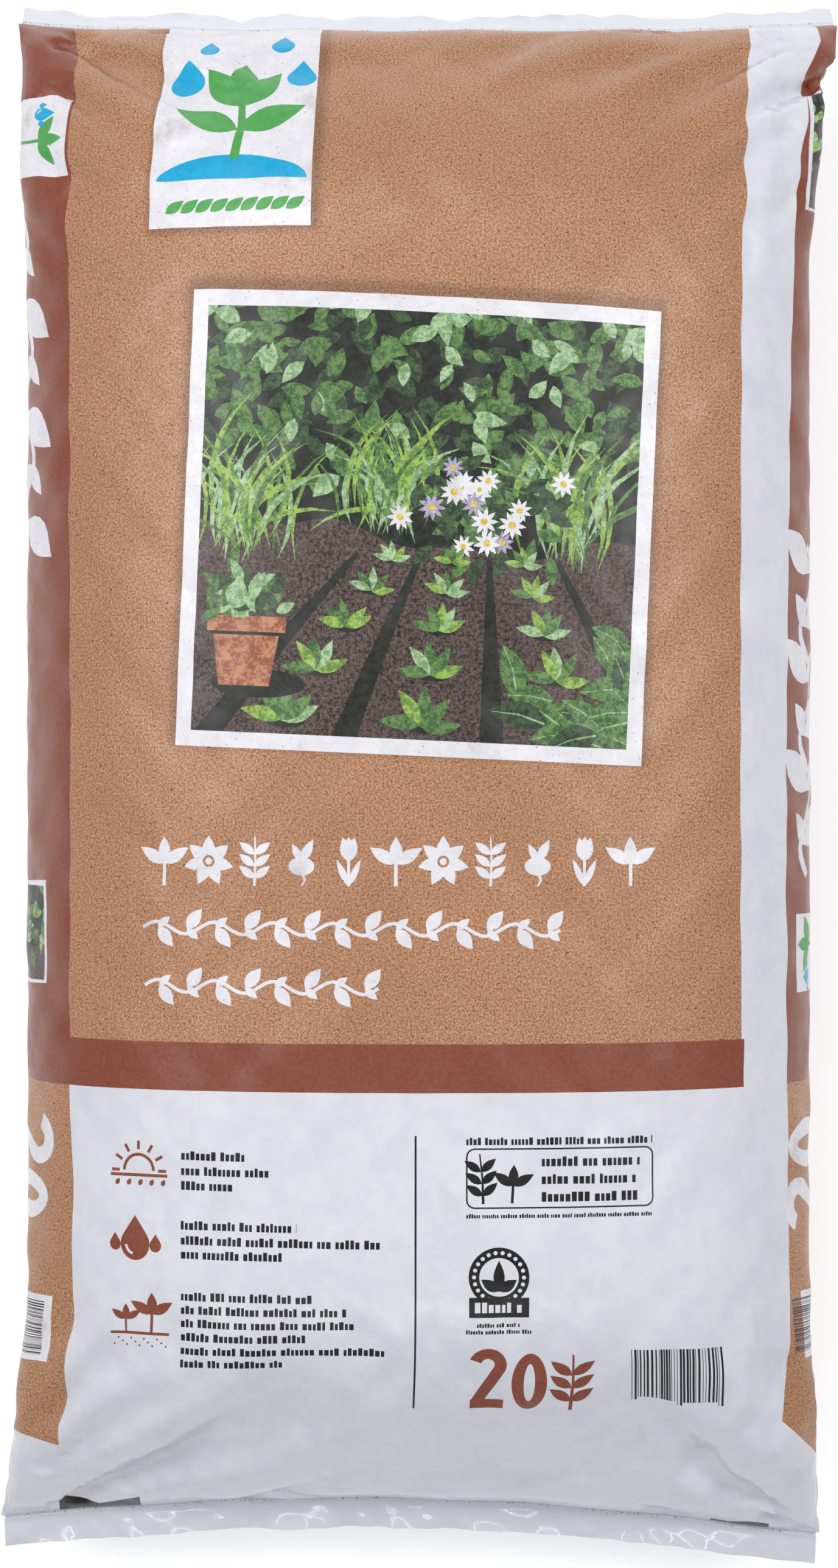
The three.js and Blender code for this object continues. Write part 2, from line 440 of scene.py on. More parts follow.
    def fin(self, across: np.ndarray, beyond: np.ndarray, end: End, thickness: np.ndarray) -> np.ndarray:
        """Points of a fin, the sheet of film left beyond a weld.

        Args:
            across: Places round the tube; those in a gusset lie at the fin's edge.
            beyond: Distances past the weld.
            end: The end that the fin is on.
            thickness: The sheet's thickness at those distances.

        Returns:
            The points in millimetres, before they are centred.
        """
        s = self.sizes
        is_top = end is End.TOP
        folded_x, depth = self._folded(across)
        x = np.where(depth > 0, np.sign(across) * s.panel_half, folded_x)
        face = self.ply_offset(across)
        along = np.full(x.shape, s.weld_span if is_top else 0.0)
        move_x, move_y, move_z = self._pull(x, along)
        crinkle = self._crinkle(x, beyond, FIN_PHASES[end])
        droop = math.radians(s.top_fin_droop if is_top else s.bottom_fin_droop)
        outward = 1.0 if is_top else -1.0
        offset = face * thickness / 2 + crinkle
        y = along + move_y + outward * (beyond * math.cos(droop) + offset * math.sin(droop))
        z = s.weld_height + move_z - beyond * math.sin(droop) + offset * math.cos(droop)
        return np.stack([x + move_x, y, z], axis=-1)

    def _crinkle(self, x: np.ndarray, beyond: np.ndarray, phase: float) -> np.ndarray:
        """How the loose film of a fin waves in and out of its plane, both plies alike.

        Args:
            x: Places across the flat tube.
            beyond: Distances past the weld.
            phase: The end's own phase.

        Returns:
            The movement out of the fin's plane.
        """
        total = np.zeros_like(x)
        for w in FIN_WAVES:
            sway = w.sway * np.sin(x / w.sway_pitch + w.sway_shift * phase)
            total += w.height * zigzag(x / w.pitch + sway + beyond / w.pitch_beyond + w.shift * phase)
        return total * np.clip((beyond - self.sizes.weld_width) / self.sizes.fin_length, 0, 1)


def normals_of(points: np.ndarray) -> np.ndarray:
    """Outward unit normals of a grid that is closed round its columns.

    Args:
        points: The grid, rows by columns by 3.

    Returns:
        A normal for each point.
    """
    around = np.roll(points, -1, axis=1) - np.roll(points, 1, axis=1)
    along = np.gradient(points, axis=0)
    normal = np.cross(around, along)
    return normal / np.linalg.norm(normal, axis=-1, keepdims=True).clip(TINY)


@dataclass(frozen=True)
class FilmSettling:
    """Lays thin film with a fixed flat size over the filled shape, so that its slack wrinkles.

    The film can't stretch, can't go into the fill and is held along both welds. It has more length
    and girth than the shape needs near the ends, and that slack buckles outwards.
    """

    steps: int = 300
    inner_rounds: int = 3
    press: float = 0.004
    weight: float = 0.007
    damping: float = 0.9
    squeeze: float = 0.6
    bending: float = 0.07
    sink: float = 0.35
    rise: float = 3.6
    middle_rise: float = 1.2
    slip: float = 2.8
    middle_slip: float = 1.0
    tucked_slip: float = 0.02
    least_rise: float = 0.4
    roughness: float = 0.5
    shear: float = 0.8
    haste: float = 1.5
    held_run: float = 30.0
    slack_run: float = 150.0
    seed: int = 7

    def run(
        self, shape: np.ndarray, tucked: np.ndarray, ring_step: float, row_steps: np.ndarray
    ) -> np.ndarray:
        """Settle the film.

        Args:
            shape: The filled shape, rows by columns by 3.
            tucked: How far each place is shut in between the front and the back, from 0 to 1.
            ring_step: The film's own spacing round the tube.
            row_steps: The film's own spacing from each row to the next.

        Returns:
            The settled film, of the same size as shape.
        """
        normal = normals_of(shape)
        length = np.concatenate([[0], np.cumsum(row_steps)])
        from_weld = np.minimum(length, length[-1] - length)
        held = 1 - fade(from_weld, self.held_run)
        slack = fade(from_weld, self.slack_run)
        rise = (self.least_rise + blend(self.middle_rise, self.rise, slack) * held)[:, None]
        rise = blend(rise, 0.0, tucked)
        slip = blend(blend(self.middle_slip, self.slip, slack)[:, None], self.tucked_slip, tucked)
        random = np.random.default_rng(self.seed)
        rough = random.normal(0, 1, shape.shape[:2])
        for _ in range(2):
            rough = (rough + np.roll(rough, 1, 1) + np.roll(rough, -1, 1)) / 3
            rough[1:-1] = (rough[1:-1] + rough[2:] + rough[:-2]) / 3
        film = shape + normal * (self.roughness * rough)[..., None]
        film[0], film[-1] = shape[0], shape[-1]
        drift = np.zeros_like(film)
        for _ in range(self.steps):
            drift = (drift + normal * self.press) * self.damping
            drift[..., 2] -= self.weight
            moved = film + drift
            for _ in range(self.inner_rounds):
                moved = self._hold_sizes(moved, ring_step, row_steps)
                moved = self._keep_out(moved, shape, normal, rise, slip)
            drift = moved - film
            film = moved
        return film

    def _hold_sizes(self, film: np.ndarray, ring_step: float, row_steps: np.ndarray) -> np.ndarray:
        """Move each point towards the film's own spacing in five directions.

        Args:
            film: The film as it lies.
            ring_step: The film's own spacing round the tube.
            row_steps: The film's own spacing from each row to the next.

        Returns:
            The film after one round.
        """
        move = np.zeros_like(film)
        count = np.zeros(film.shape[:2])
        rows = row_steps[:, None]
        links = ((1, 1.0, self.squeeze), (2, 0.0, self.bending), (4, 0.0, self.bending))
        for shift, stretch, squeeze in links:
            step = self._pull(film, np.roll(film, -shift, 1), shift * ring_step, stretch, squeeze)
            move += step - np.roll(step, shift, 1)
        count += 2
        step = self._pull(film[:-1], film[1:], rows, 1.0, self.squeeze)
        move[:-1] += step
        move[1:] -= step
        count[:-1] += 1
        count[1:] += 1
        for reach in (2, 4):
            rest = np.convolve(row_steps, np.ones(reach), "valid")[:, None]
            step = self._pull(film[:-reach], film[reach:], rest, 0.0, self.bending)
            move[:-reach] += step
            move[reach:] -= step
        diagonal = np.hypot(rows, ring_step)
        for shift in (1, -1):
            slanted = np.roll(film[1:], -shift, 1)
            step = self._pull(film[:-1], slanted, diagonal, self.shear, self.squeeze / 2)
            move[:-1] += step
            move[1:] -= np.roll(step, shift, 1)
            count[:-1] += 1
            count[1:] += 1
        return film + self.haste * move / count[..., None]

    @staticmethod
    def _pull(
        first: np.ndarray, second: np.ndarray, rest: np.ndarray, stretch: float, squeeze: float
    ) -> np.ndarray:
        """Half the move that brings pairs of points back to their own distance.

        Args:
            first: One point of each pair.
            second: The other one.
            rest: Their own distance.
            stretch: How stiff they are when too far apart.
            squeeze: How stiff they are when too close.

        Returns:
            The move of the first points.
        """
        gap = second - first
        size = np.linalg.norm(gap, axis=-1).clip(TINY)
        excess = size - rest
        stiffness = np.where(excess > 0, stretch, squeeze)
        return gap * (stiffness * excess / size / 2)[..., None]

    def _keep_out(
        self,
        film: np.ndarray,
        shape: np.ndarray,
        normal: np.ndarray,
        rise: np.ndarray,
        slip: np.ndarray,
    ) -> np.ndarray:
        """Keep the film out of the fill and off the floor, and hold it along the welds.

        Args:
            film: The film as it lies.
            shape: The filled shape.
            normal: The shape's outward normals.
            rise: How far the film may rise off the shape.
            slip: How far it may slip along the shape.

        Returns:
            The film, moved back where it has to be.
        """
        offset = film - shape
        height = (offset * normal).sum(-1)
        across = offset - normal * height[..., None]
        reach = np.linalg.norm(across, axis=-1).clip(TINY)
        across *= (np.minimum(reach, slip) / reach)[..., None]
        kept = shape + across + normal * np.clip(height, -self.sink, rise)[..., None]
        kept[..., 2] = kept[..., 2].clip(0)
        kept[0], kept[-1] = shape[0], shape[-1]
        return kept


@dataclass(frozen=True)
class FilmGrid:
    """The settled film as a grid, from which any place of the flat film can be read."""

    across: np.ndarray
    length: np.ndarray
    points: np.ndarray

    def at(self, across: np.ndarray, length: np.ndarray) -> np.ndarray:
        """Points of the film by smooth interpolation.

        Args:
            across: Places round the tube.
            length: Lengths of film from the bottom weld.

        Returns:
            The points in millimetres.
        """
        columns = len(self.across)
        ring_step = self.across[1] - self.across[0]
        column = (across - self.across[0]) / ring_step
        row = np.interp(length, self.length, np.arange(len(self.length)))
        left = np.floor(column).astype(int)
        low = np.floor(row).astype(int).clip(0, len(self.length) - 2)
        result = np.zeros(across.shape + (3,))
        for i, weight_row in enumerate(self._weights(row - low)):
            rows = (low + i - 1).clip(0, len(self.length) - 1)
            for j, weight_column in enumerate(self._weights(column - left)):
                found = self.points[rows, (left + j - 1) % columns]
                result += (weight_row * weight_column)[..., None] * found
        return result

    def normals(self, across: np.ndarray, length: np.ndarray) -> np.ndarray:
        """Outward unit normals of the settled film at places of the flat film."""
        normal = FilmGrid(self.across, self.length, normals_of(self.points)).at(across, length)
        return normal / np.linalg.norm(normal, axis=-1, keepdims=True).clip(TINY)

    @staticmethod
    def _weights(share: np.ndarray) -> tuple[np.ndarray, ...]:
        """The weights of four neighbours, for a curve through all of them."""
        square, cube = share**2, share**3
        return (
            (-cube + 2 * square - share) / 2,
            (3 * cube - 5 * square + 2) / 2,
            (-3 * cube + 4 * square + share) / 2,
            (cube - square) / 2,
        )


class Ink(Enum):
    """What the film's outside is printed with, and what the film is called there."""

    BARE = "blown_polyethylene_white"
    KRAFT = "flexo_printed_polyethylene_kraft_brown"
    CHESTNUT = "flexo_printed_polyethylene_chestnut"
    BLACK = "flexo_printed_polyethylene_black"
    WHITE = "flexo_printed_polyethylene_white"
    BLUE = "flexo_printed_polyethylene_blue"
    GREEN = "flexo_printed_polyethylene_green"
    SOIL = "flexo_printed_polyethylene_soil"
    SHADE = "flexo_printed_polyethylene_shade"
    DEEP_LEAF = "flexo_printed_polyethylene_deep_leaf"
    LEAF = "flexo_printed_polyethylene_leaf"
    PALE_LEAF = "flexo_printed_polyethylene_pale_leaf"
    GRASS = "flexo_printed_polyethylene_grass"
    LILAC = "flexo_printed_polyethylene_lilac"
    YELLOW = "flexo_printed_polyethylene_yellow"
    CLAY = "flexo_printed_polyethylene_clay"


@dataclass(frozen=True)
class Shape:
    """One flat shape of the print, in millimetres on the flat film.

    A shape covers those before it. One that has a window shows only inside that window.
    """

    ink: Ink
    outline: Outline
    window: "Shape | None" = None


@dataclass(frozen=True)
class Place:
    """Where a motif stands on the flat film: its origin, and its turn in degrees."""

    x: float
    y: float
    turn: float = 0.0

    def put(self, outline: Iterable[Point]) -> Outline:
        """Move an outline from the motif's own millimetres to the film's."""
        cosine, sine = math.cos(math.radians(self.turn)), math.sin(math.radians(self.turn))
        return tuple((self.x + cosine * x - sine * y, self.y + sine * x + cosine * y) for x, y in outline)

    def within(self, x: float, y: float, turn: float = 0.0) -> "Place":
        """A place given in this place's own millimetres."""
        (new_x, new_y), = self.put([(x, y)])
        return Place(new_x, new_y, self.turn + turn)


def box(left: float, bottom: float, right: float, top: float) -> Outline:
    """A rectangle from its sides."""
    return ((left, bottom), (right, bottom), (right, top), (left, top))


def disc(radius: float, squash: float = 1.0, count: int = 28) -> Outline:
    """A round outline about the origin, squashed upwards."""
    turns = [2 * math.pi * k / count for k in range(count)]
    return tuple((radius * math.cos(a), squash * radius * math.sin(a)) for a in turns)


def rounded_box(width: float, height: float, radius: float) -> Outline:
    """A rectangle with round corners, from its lower left corner.

    Args:
        width: How wide it is.
        height: How tall it is.
        radius: The radius of its corners.

    Returns:
        Its outline.
    """
    right, top = width - radius, height - radius
    points = []
    for quarter, (x, y) in enumerate(((right, top), (radius, top), (radius, radius), (right, radius))):
        for k in range(5):
            angle = math.pi / 2 * (quarter + k / 4)
            points.append((x + radius * math.cos(angle), y + radius * math.sin(angle)))
    return tuple(points)


def leaf(length: float, width: float, bend: float = 0.0, steps: int = 6) -> Outline:
    """A pointed leaf along +Y from the origin, its middle bent sideways.

    Args:
        length: How long it is.
        width: How wide it is.
        bend: How far its middle lies to the right.
        steps: How many parts each side has.

    Returns:
        Its outline.
    """
    shares = [k / steps for k in range(steps + 1)]
    middle = [(bend * 4 * t * (1 - t), length * t) for t in shares]
    half = [width / 2 * math.sin(math.pi * t**0.85) for t in shares]
    right = [(x + h, y) for (x, y), h in zip(middle, half)]
    left = [(x - h, y) for (x, y), h in zip(middle, half)]
    return tuple(right + left[-2:0:-1])


def drop(height: float) -> Outline:
    """A water drop that stands on the origin.

    Args:
        height: How tall it is.

    Returns:
        Its outline.
    """
    radius = height * 0.36
    turns = [math.radians(-215 + 250 * k / 14) for k in range(15)]
    return tuple((radius * math.cos(a), radius + radius * math.sin(a)) for a in turns) + ((0, height),)


def stroke(points: Sequence[Point], width: float, taper: float = 1.0) -> Outline:
    """A line of even or tapering width along a row of points.

    Args:
        points: The row of points.
        width: The width at the start.
        taper: The width at the end as a share of the width at the start.

    Returns:
        Its outline.
    """
    line = np.array(points, float)
    side = np.gradient(line, axis=0)[:, ::-1] * (-1, 1)
    side /= np.linalg.norm(side, axis=1, keepdims=True)
    half = side * (width / 2 * np.linspace(1, taper, len(line)))[:, None]
    return tuple(map(tuple, np.concatenate([line + half, (line - half)[::-1]]).tolist()))


def arc(radius: float, start: float, stop: float, steps: int = 12) -> list[Point]:
    """Points on a circle about the origin, between two angles in degrees."""
    turns = [math.radians(start + (stop - start) * k / steps) for k in range(steps + 1)]
    return [(radius * math.cos(a), radius * math.sin(a)) for a in turns]


def dense(outline: Outline, step: float) -> list[Point]:
    """The outline anticlockwise, with points added so that no side is longer than a step.

    Args:
        outline: The outline.
        step: The longest side.

    Returns:
        Its points.
    """
    ring = np.array(outline, float)
    ahead = np.roll(ring, -1, axis=0)
    if (ring[:, 0] * ahead[:, 1] - ahead[:, 0] * ring[:, 1]).sum() < 0:
        ring = ring[::-1]
        ahead = np.roll(ring, -1, axis=0)
    points = []
    for start, stop in zip(ring, ahead):
        count = max(1, math.ceil(float(np.linalg.norm(stop - start)) / step))
        points.extend(tuple(start + (stop - start) * k / count) for k in range(count))
    return points


FLAT = Place(0, 0)  # the film's own millimetres


@dataclass
class Drawing:
    """A part of the print, with its shapes in the order in which they are laid down."""

    shapes: list[Shape] = field(default_factory=list, kw_only=True)

    def add(self, ink: Ink, place: Place, outline: Iterable[Point], window: Shape | None = None) -> Shape:
        """Lay down one more shape.

        Args:
            ink: What it is printed with.
            place: Where its outline's origin is.
            outline: Its outline.
            window: The shape that it shows inside, if there is one.

        Returns:
            The shape.
        """
        shape = Shape(ink, place.put(outline), window)
        self.shapes.append(shape)
        return shape


@dataclass(frozen=True)
class PlantPlan:
    """A plant one unit tall: its stem, and the rise, turn, length and width of each leaf."""

    stem: tuple[Point, ...]
    width: float
    taper: float
    leaves: tuple[tuple[float, float, float, float], ...]


class Plant(Enum):
    """The plants of the print."""

    SPROUT = PlantPlan(
        ((0, 0), (0, 0.55)), 0.07, 1.0,
        ((0.45, 58, 0.62, 0.26), (0.45, -58, 0.62, 0.26), (0.45, 0, 0.55, 0.26)),
    )
    TWIG = PlantPlan(
        ((0, 0), (0.02, 0.5), (0, 1)), 0.055, 0.5,
        tuple((rise, turn, 0.4, 0.17) for rise in (0.16, 0.4, 0.64) for turn in (52, -52)),
    )
    TULIP = PlantPlan(
        ((0, 0), (0, 0.6)), 0.06, 1.0,
        ((0, -24, 0.6, 0.14), (0, 24, 0.6, 0.14),
         (0.5, -14, 0.5, 0.24), (0.5, 0, 0.5, 0.24), (0.5, 14, 0.5, 0.24)),
    )
    SHOOT = PlantPlan(
        ((0, 0.3), (0.07, 0.12), (0, 0)), 0.07, 0.4,
        ((0.5, -28, 0.5, 0.2), (0.5, 28, 0.4, 0.16)),
    )


@dataclass(frozen=True)
class Motifs:
    """Small drawings that the print is made of, each about as tall as its size."""

    ink: Ink
    ground: Ink

    def laid(self, place: Place, outlines: Iterable[Outline]) -> list[Shape]:
        """Outlines at a place as shapes of this ink."""
        return [Shape(self.ink, place.put(outline)) for outline in outlines]

    def plant(self, kind: Plant, place: Place, size: float) -> list[Shape]:
        """A plant with a stem and leaves.

        Args:
            kind: Which plant it is.
            place: Where it stands on the film.
            size: How tall it is.

        Returns:
            Its shapes.
        """
        plan = kind.value
        stem = [(size * x, size * y) for x, y in plan.stem]
        outlines = [stroke(stem, size * plan.width, plan.taper)]
        for rise, turn, length, width in plan.leaves:
            outlines.append(Place(0, size * rise, turn).put(leaf(size * length, size * width)))
        return self.laid(place, outlines)

    def flower(self, place: Place, size: float) -> list[Shape]:
        """A flower head with seven petals round an open eye.

        Args:
            place: Where it stands on the film.
            size: How tall it is.

        Returns:
            Its shapes.
        """
        middle = place.within(0, size / 2)
        petals = [Place(0, 0, 360 / 7 * k).put(leaf(size * 0.52, size * 0.27)) for k in range(7)]
        eye = Shape(self.ground, middle.put(disc(size * 0.12)))
        return self.laid(middle, petals) + [eye] + self.laid(middle, [disc(size * 0.07)])

    def seed(self, place: Place, size: float) -> list[Shape]:
        """A seed with a root below and a shoot above."""
        husk = Place(0, size * 0.4).put(disc(size * 0.26, 0.72))
        return self.laid(place, [husk]) + self.plant(Plant.SHOOT, place, size)

    def vine(self, place: Place, length: float, height: float, pitch: float) -> list[Shape]:
        """A waving stem along +X with a leaf in each bend.

        Args:
            place: Where it stands on the film.
            length: How long it is.
            height: How tall it is.
            pitch: How far its bends are apart.

        Returns:
            Its shapes.
        """
        count = round(length / pitch)
        wave = [
            (length * k / (count * 6), height * (0.5 + 0.16 * math.sin(math.pi * k / 6)))
            for k in range(count * 6 + 1)
        ]
        outlines = [stroke(wave, height * 0.09)]
        for k in range(count):
            side = 1 if k % 2 else -1
            root = (pitch * (k + 0.55), height * (0.5 - side * 0.02))
            outlines.append(Place(*root, -90 + side * 52).put(leaf(height * 0.66, height * 0.36)))
            outlines.append(Place(*root, -90 - side * 40).put(leaf(height * 0.42, height * 0.22)))
        return self.laid(place, outlines)

    def sun(self, place: Place, size: float) -> list[Shape]:
        """A half sun over a line of ground, with rays.

        Args:
            place: Where it stands on the film.
            size: How tall it is.

        Returns:
            Its shapes.
        """
        outlines = [stroke(arc(size * 0.26, 0, 180), size * 0.05)]
        for k in range(7):
            ray = [(size * 0.34, 0), (size * 0.48, 0)]
            outlines.append(Place(0, 0, 180 * k / 6).put(stroke(ray, size * 0.05)))
        outlines.append(box(-size * 0.5, -size * 0.1, size * 0.5, -size * 0.05))
        for k in range(5):
            crumb = Place(size * (k - 2) * 0.2, -size * 0.24, -30)
            outlines.append(crumb.put(leaf(size * 0.12, size * 0.08)))
        return self.laid(place.within(0, size * 0.4), outlines)

    def rain(self, place: Place, size: float) -> list[Shape]:
        """A large drop with an open gleam between two small drops.

        Args:
            place: Where it stands on the film.
            size: How tall it is.

        Returns:
            Its shapes.
        """
        large = self.laid(place, [drop(size)])
        gleam = stroke(Place(0, size * 0.36).put(arc(size * 0.22, 185, 255, 6)), size * 0.06)
        small = [Place(side * size * 0.5, size * 0.2).put(drop(size * 0.4)) for side in (-1, 1)]
        return large + [Shape(self.ground, place.put(gleam))] + self.laid(place, small)

    def planting(self, place: Place, size: float) -> list[Shape]:
        """Two young plants on a line of soil with crumbs below.

        Args:
            place: Where it stands on the film.
            size: How tall it is.

        Returns:
            Its shapes.
        """
        shapes = self.plant(Plant.SPROUT, place.within(-size * 0.24, size * 0.32), size * 0.48)
        shapes += self.plant(Plant.SPROUT, place.within(size * 0.2, size * 0.32), size * 0.68)
        shapes += self.laid(place, [box(-size * 0.5, size * 0.27, size * 0.5, size * 0.32)])
        for k in range(13):
            spot = Place(size * (k - 6) * 0.075, size * (0.08 + 0.12 * ((k * 5) % 3) / 2))
            shapes += self.laid(place, [spot.put(disc(size * 0.018, count=8))])
        return shapes

    def numerals(self, place: Place, height: float) -> list[Shape]:
        """The plain figures of the volume in litres.

        Args:
            place: Where it stands on the film.
            height: How tall it is.

        Returns:
            Its shapes.
        """
        width, weight = height * 0.46, height * 0.17
        bowl = Place(width / 2, height - width / 2 + weight * 0.25)
        top = bowl.put(arc(width / 2 - weight / 2 + weight * 0.2, 165, -38, 14))
        two = stroke([*top, (weight * 0.5, weight * 0.7)], weight)
        foot = box(0, 0, width * 1.02, weight)
        middle = Place(width * 1.78, height / 2)
        reach = width / 2 * 1.08
        outer = middle.put(disc(reach, height / width / 1.08, 40))
        inner = middle.put(disc(reach - weight, (height / 2 - weight) / (reach - weight), 36))
        shapes = self.laid(place, [two, foot, outer])
        return shapes + [Shape(self.ground, place.put(inner))]


def block_row(place: Place, length: float, height: float, seed: int, ink: Ink = Ink.BLACK) -> list[Shape]:
    """A row of small blocks in uneven groups.

    Args:
        place: The lower left end of the row.
        length: How long the row is.
        height: How tall its tallest blocks are.
        seed: Chooses the blocks.
        ink: What the row is printed with.

    Returns:
        The blocks.
    """
    random = np.random.default_rng(seed)
    shapes = []
    x = 0.0
    left_in_group = 0
    while x < length - height * 0.3:
        if left_in_group == 0:
            left_in_group = int(random.integers(3, 9))
            x += height * 0.4 if shapes else 0.0
        width = height * random.uniform(0.3, 0.52)
        tall = height * random.choice((1.0, 0.78, 0.78))
        shapes.append(Shape(ink, place.put(box(x, 0, min(x + width, length), tall))))
        x += width + height * 0.15
        left_in_group -= 1
    return shapes


def bar_row(place: Place, width: float, height: float, seed: int, lean: float = 0.0) -> list[Shape]:
    """Bars of three widths, with the outer and middle ones a little longer.

    Args:
        place: The lower left corner.
        width: How wide the whole is.
        height: How tall the bars are.
        seed: Chooses the widths.
        lean: How far the tops stand to the right of the feet.

    Returns:
        The bars.
    """
    count = 30
    widths = np.random.default_rng(seed).choice((1, 1, 2, 3), 2 * count - 1)
    module = width / widths.sum()
    shapes = []
    x = 0.0
    for k, units in enumerate(widths):
        if k % 2 == 0:
            is_guard = k in (0, 2, count, count + 2, 2 * count - 4, 2 * count - 2)
            foot = -height * 0.06 if is_guard else 0.0
            right = x + units * module
            bar = ((x, foot), (right, foot), (right + lean, height), (x + lean, height))
            shapes.append(Shape(Ink.BLACK, place.put(bar)))
        x += units * module
    return shapes


@dataclass
class GardenPicture(Drawing):
    """A framed picture of a planted bed: a leafy hedge, grasses, daisies, rows of seedlings."""

    place: Place
    width: float = 165.0
    height: float = 161.0
    frame: float = 5.6
    seed: int = 21

    def __post_init__(self) -> None:
        """Draw everything inside the frame."""
        self.random = np.random.default_rng(self.seed)
        self.add(Ink.WHITE, self.place, box(0, 0, self.width, self.height))
        view = box(self.frame, self.frame, self.width - self.frame, self.height - self.frame)
        window = self.add(Ink.SHADE, self.place, view)
        below = len(self.shapes)
        for part in (
            self._soil, self._hedge, self._grasses, self._daisies, self._seedlings, self._pot,
            self._near_leaves,
        ):
            part()
        self.shapes[below:] = [replace(shape, window=window) for shape in self.shapes[below:]]

    def _pick(self, *inks: Ink) -> Ink:
        """One of some inks by chance."""
        return inks[int(self.random.integers(len(inks)))]

    def _soil(self) -> None:
        """The bed, with shaded furrows that run towards the viewer."""
        edge = [(x, 76 + 5 * math.sin(x / 23) + 2 * math.sin(x / 7)) for x in range(0, 171, 6)]
        self.add(Ink.SOIL, self.place, [(0, 0), (self.width, 0), *reversed(edge)])
        for start, stop in ((8, 62), (58, 84), (112, 108), (170, 132)):
            furrow = [(start, 0), (start * 0.5 + stop * 0.5, 36), (stop, 70)]
            self.add(Ink.SHADE, self.place, stroke(furrow, 9, 0.2))

    def _hedge(self) -> None:
        """Pointed leaves in every direction over the upper half, paler towards the light."""
        count = 400
        for k in range(count):
            x = self.random.uniform(0, self.width)
            rim = 96 + 12 * math.sin(x / 25 + 1)
            y = self.random.uniform(rim, self.height)
            lit = k / count + 0.3 * (y - rim) / (self.height - rim) + self.random.normal(0, 0.16)
            ink = Ink.PALE_LEAF if lit > 1.05 else Ink.LEAF if lit > 0.6 else Ink.DEEP_LEAF
            turn = self.random.uniform(0, 360)
            size = self.random.uniform(7.5, 12.5)
            spot = self.place.within(x, y, turn)
            self.add(ink, spot, leaf(size, size * self.random.uniform(0.42, 0.58), size * 0.06, 5))

    def _grasses(self) -> None:
        """Tufts of arching blades between the hedge and the bed."""
        for tuft_x, tuft_y, spread, reach in ((22, 70, 1.0, 50), (70, 80, 0.9, 44), (138, 72, 1.1, 52)):
            for _ in range(44):
                lean = self.random.normal(0, 26) * spread
                length = reach * self.random.uniform(0.6, 1.0)
                ink = self._pick(Ink.GRASS, Ink.LEAF, Ink.GRASS, Ink.PALE_LEAF)
                x, y = tuft_x + self.random.normal(0, 7), tuft_y + self.random.normal(0, 3)
                spot = self.place.within(x, y, -lean)
                bend = -math.copysign(length * 0.16, lean)
                self.add(ink, spot, leaf(length, self.random.uniform(1.3, 2.4), bend, 5))

    def _daisies(self) -> None:
        """White and lilac flower heads over dark leaves."""
        for _ in range(60):
            x, y = self.random.normal(106, 13), self.random.normal(84, 9)
            spot = self.place.within(x, y, self.random.uniform(0, 360))
            ink = self._pick(Ink.DEEP_LEAF, Ink.LEAF)
            self.add(ink, spot, leaf(self.random.uniform(8, 12), 4.6))
        for k in range(17):
            x, y = 106 + self.random.normal(0, 15), 92 + self.random.normal(0, 9)
            size = self.random.uniform(3.6, 5.4)
            ink = Ink.LILAC if k % 4 == 3 else Ink.WHITE
            head = self.place.within(x, y, self.random.uniform(0, 40))
            for petal in range(9):
                self.add(ink, head.within(0, 0, 40 * petal), leaf(size, size * 0.36, steps=3))
            self.add(Ink.YELLOW, head, disc(size * 0.26, count=10))

    def _seedlings(self) -> None:
        """Three rows of young plants that grow larger towards the viewer."""
        for start, stop in ((36, 74), (86, 95), (140, 120)):
            for share in (1.0, 0.82, 0.6, 0.34, 0.04):
                x = start + (stop - start) * share
                y = 8 + 60 * share
                size = 15 - 8 * share
                shade = self.place.within(x + size * 0.1, y)
                self.add(Ink.SHADE, shade, disc(size * 0.5, 0.35, 12))
                for turn in (-76, -38, 0, 38, 76):
                    ink = self._pick(Ink.LEAF, Ink.PALE_LEAF, Ink.GRASS)
                    spot = self.place.within(x, y, turn + self.random.uniform(-12, 12))
                    self.add(ink, spot, leaf(size, size * 0.36, size * 0.04))

    def _pot(self) -> None:
        """A clay pot with a round plant, at the left of the bed."""
        foot = self.place.within(24, 22)
        self.add(Ink.SHADE, foot.within(5, 1), disc(17, 0.3, 20))
        self.add(Ink.CLAY, foot, [(-9, 0), (9, 0), (12, 20), (-12, 20)])
        self.add(Ink.CLAY, foot, box(-14, 19, 14, 24.5))
        self.add(Ink.SHADE, foot, box(-12.5, 17.8, 12.5, 19))
        for _ in range(60):
            x, y = self.random.normal(0, 5), 24 + abs(self.random.normal(0, 6))
            spot = foot.within(x, y, self.random.normal(0, 48))
            ink = self._pick(Ink.DEEP_LEAF, Ink.LEAF, Ink.PALE_LEAF)
            self.add(ink, spot, leaf(self.random.uniform(7, 11), 4.0))

    def _near_leaves(self) -> None:
        """Large leaves that reach in from the lower right, each with a paler rib."""
        for _ in range(26):
            x, y = 164 - abs(self.random.normal(0, 13)), 4 + abs(self.random.normal(0, 18))
            turn = self.random.uniform(10, 120)
            size = self.random.uniform(15, 23)
            ink = self._pick(Ink.DEEP_LEAF, Ink.LEAF, Ink.LEAF)
            spot = self.place.within(x, y, turn)
            self.add(ink, spot, leaf(size, size * 0.46, size * 0.05, 9))
            rib = [(0, size * 0.06), (size * 0.05, size * 0.5), (0, size * 0.94)]
            self.add(Ink.PALE_LEAF, spot, stroke(rib, size * 0.035, 0.3))


@dataclass(frozen=True)
class SideRows:
    """Where the ornament of one gusset stands along the film, and how near to the front it starts."""

    label: Point
    label_near: float
    vine: Point
    picture: Point
    picture_near: float
    figures_start: float
    bars: Point
    bars_near: float


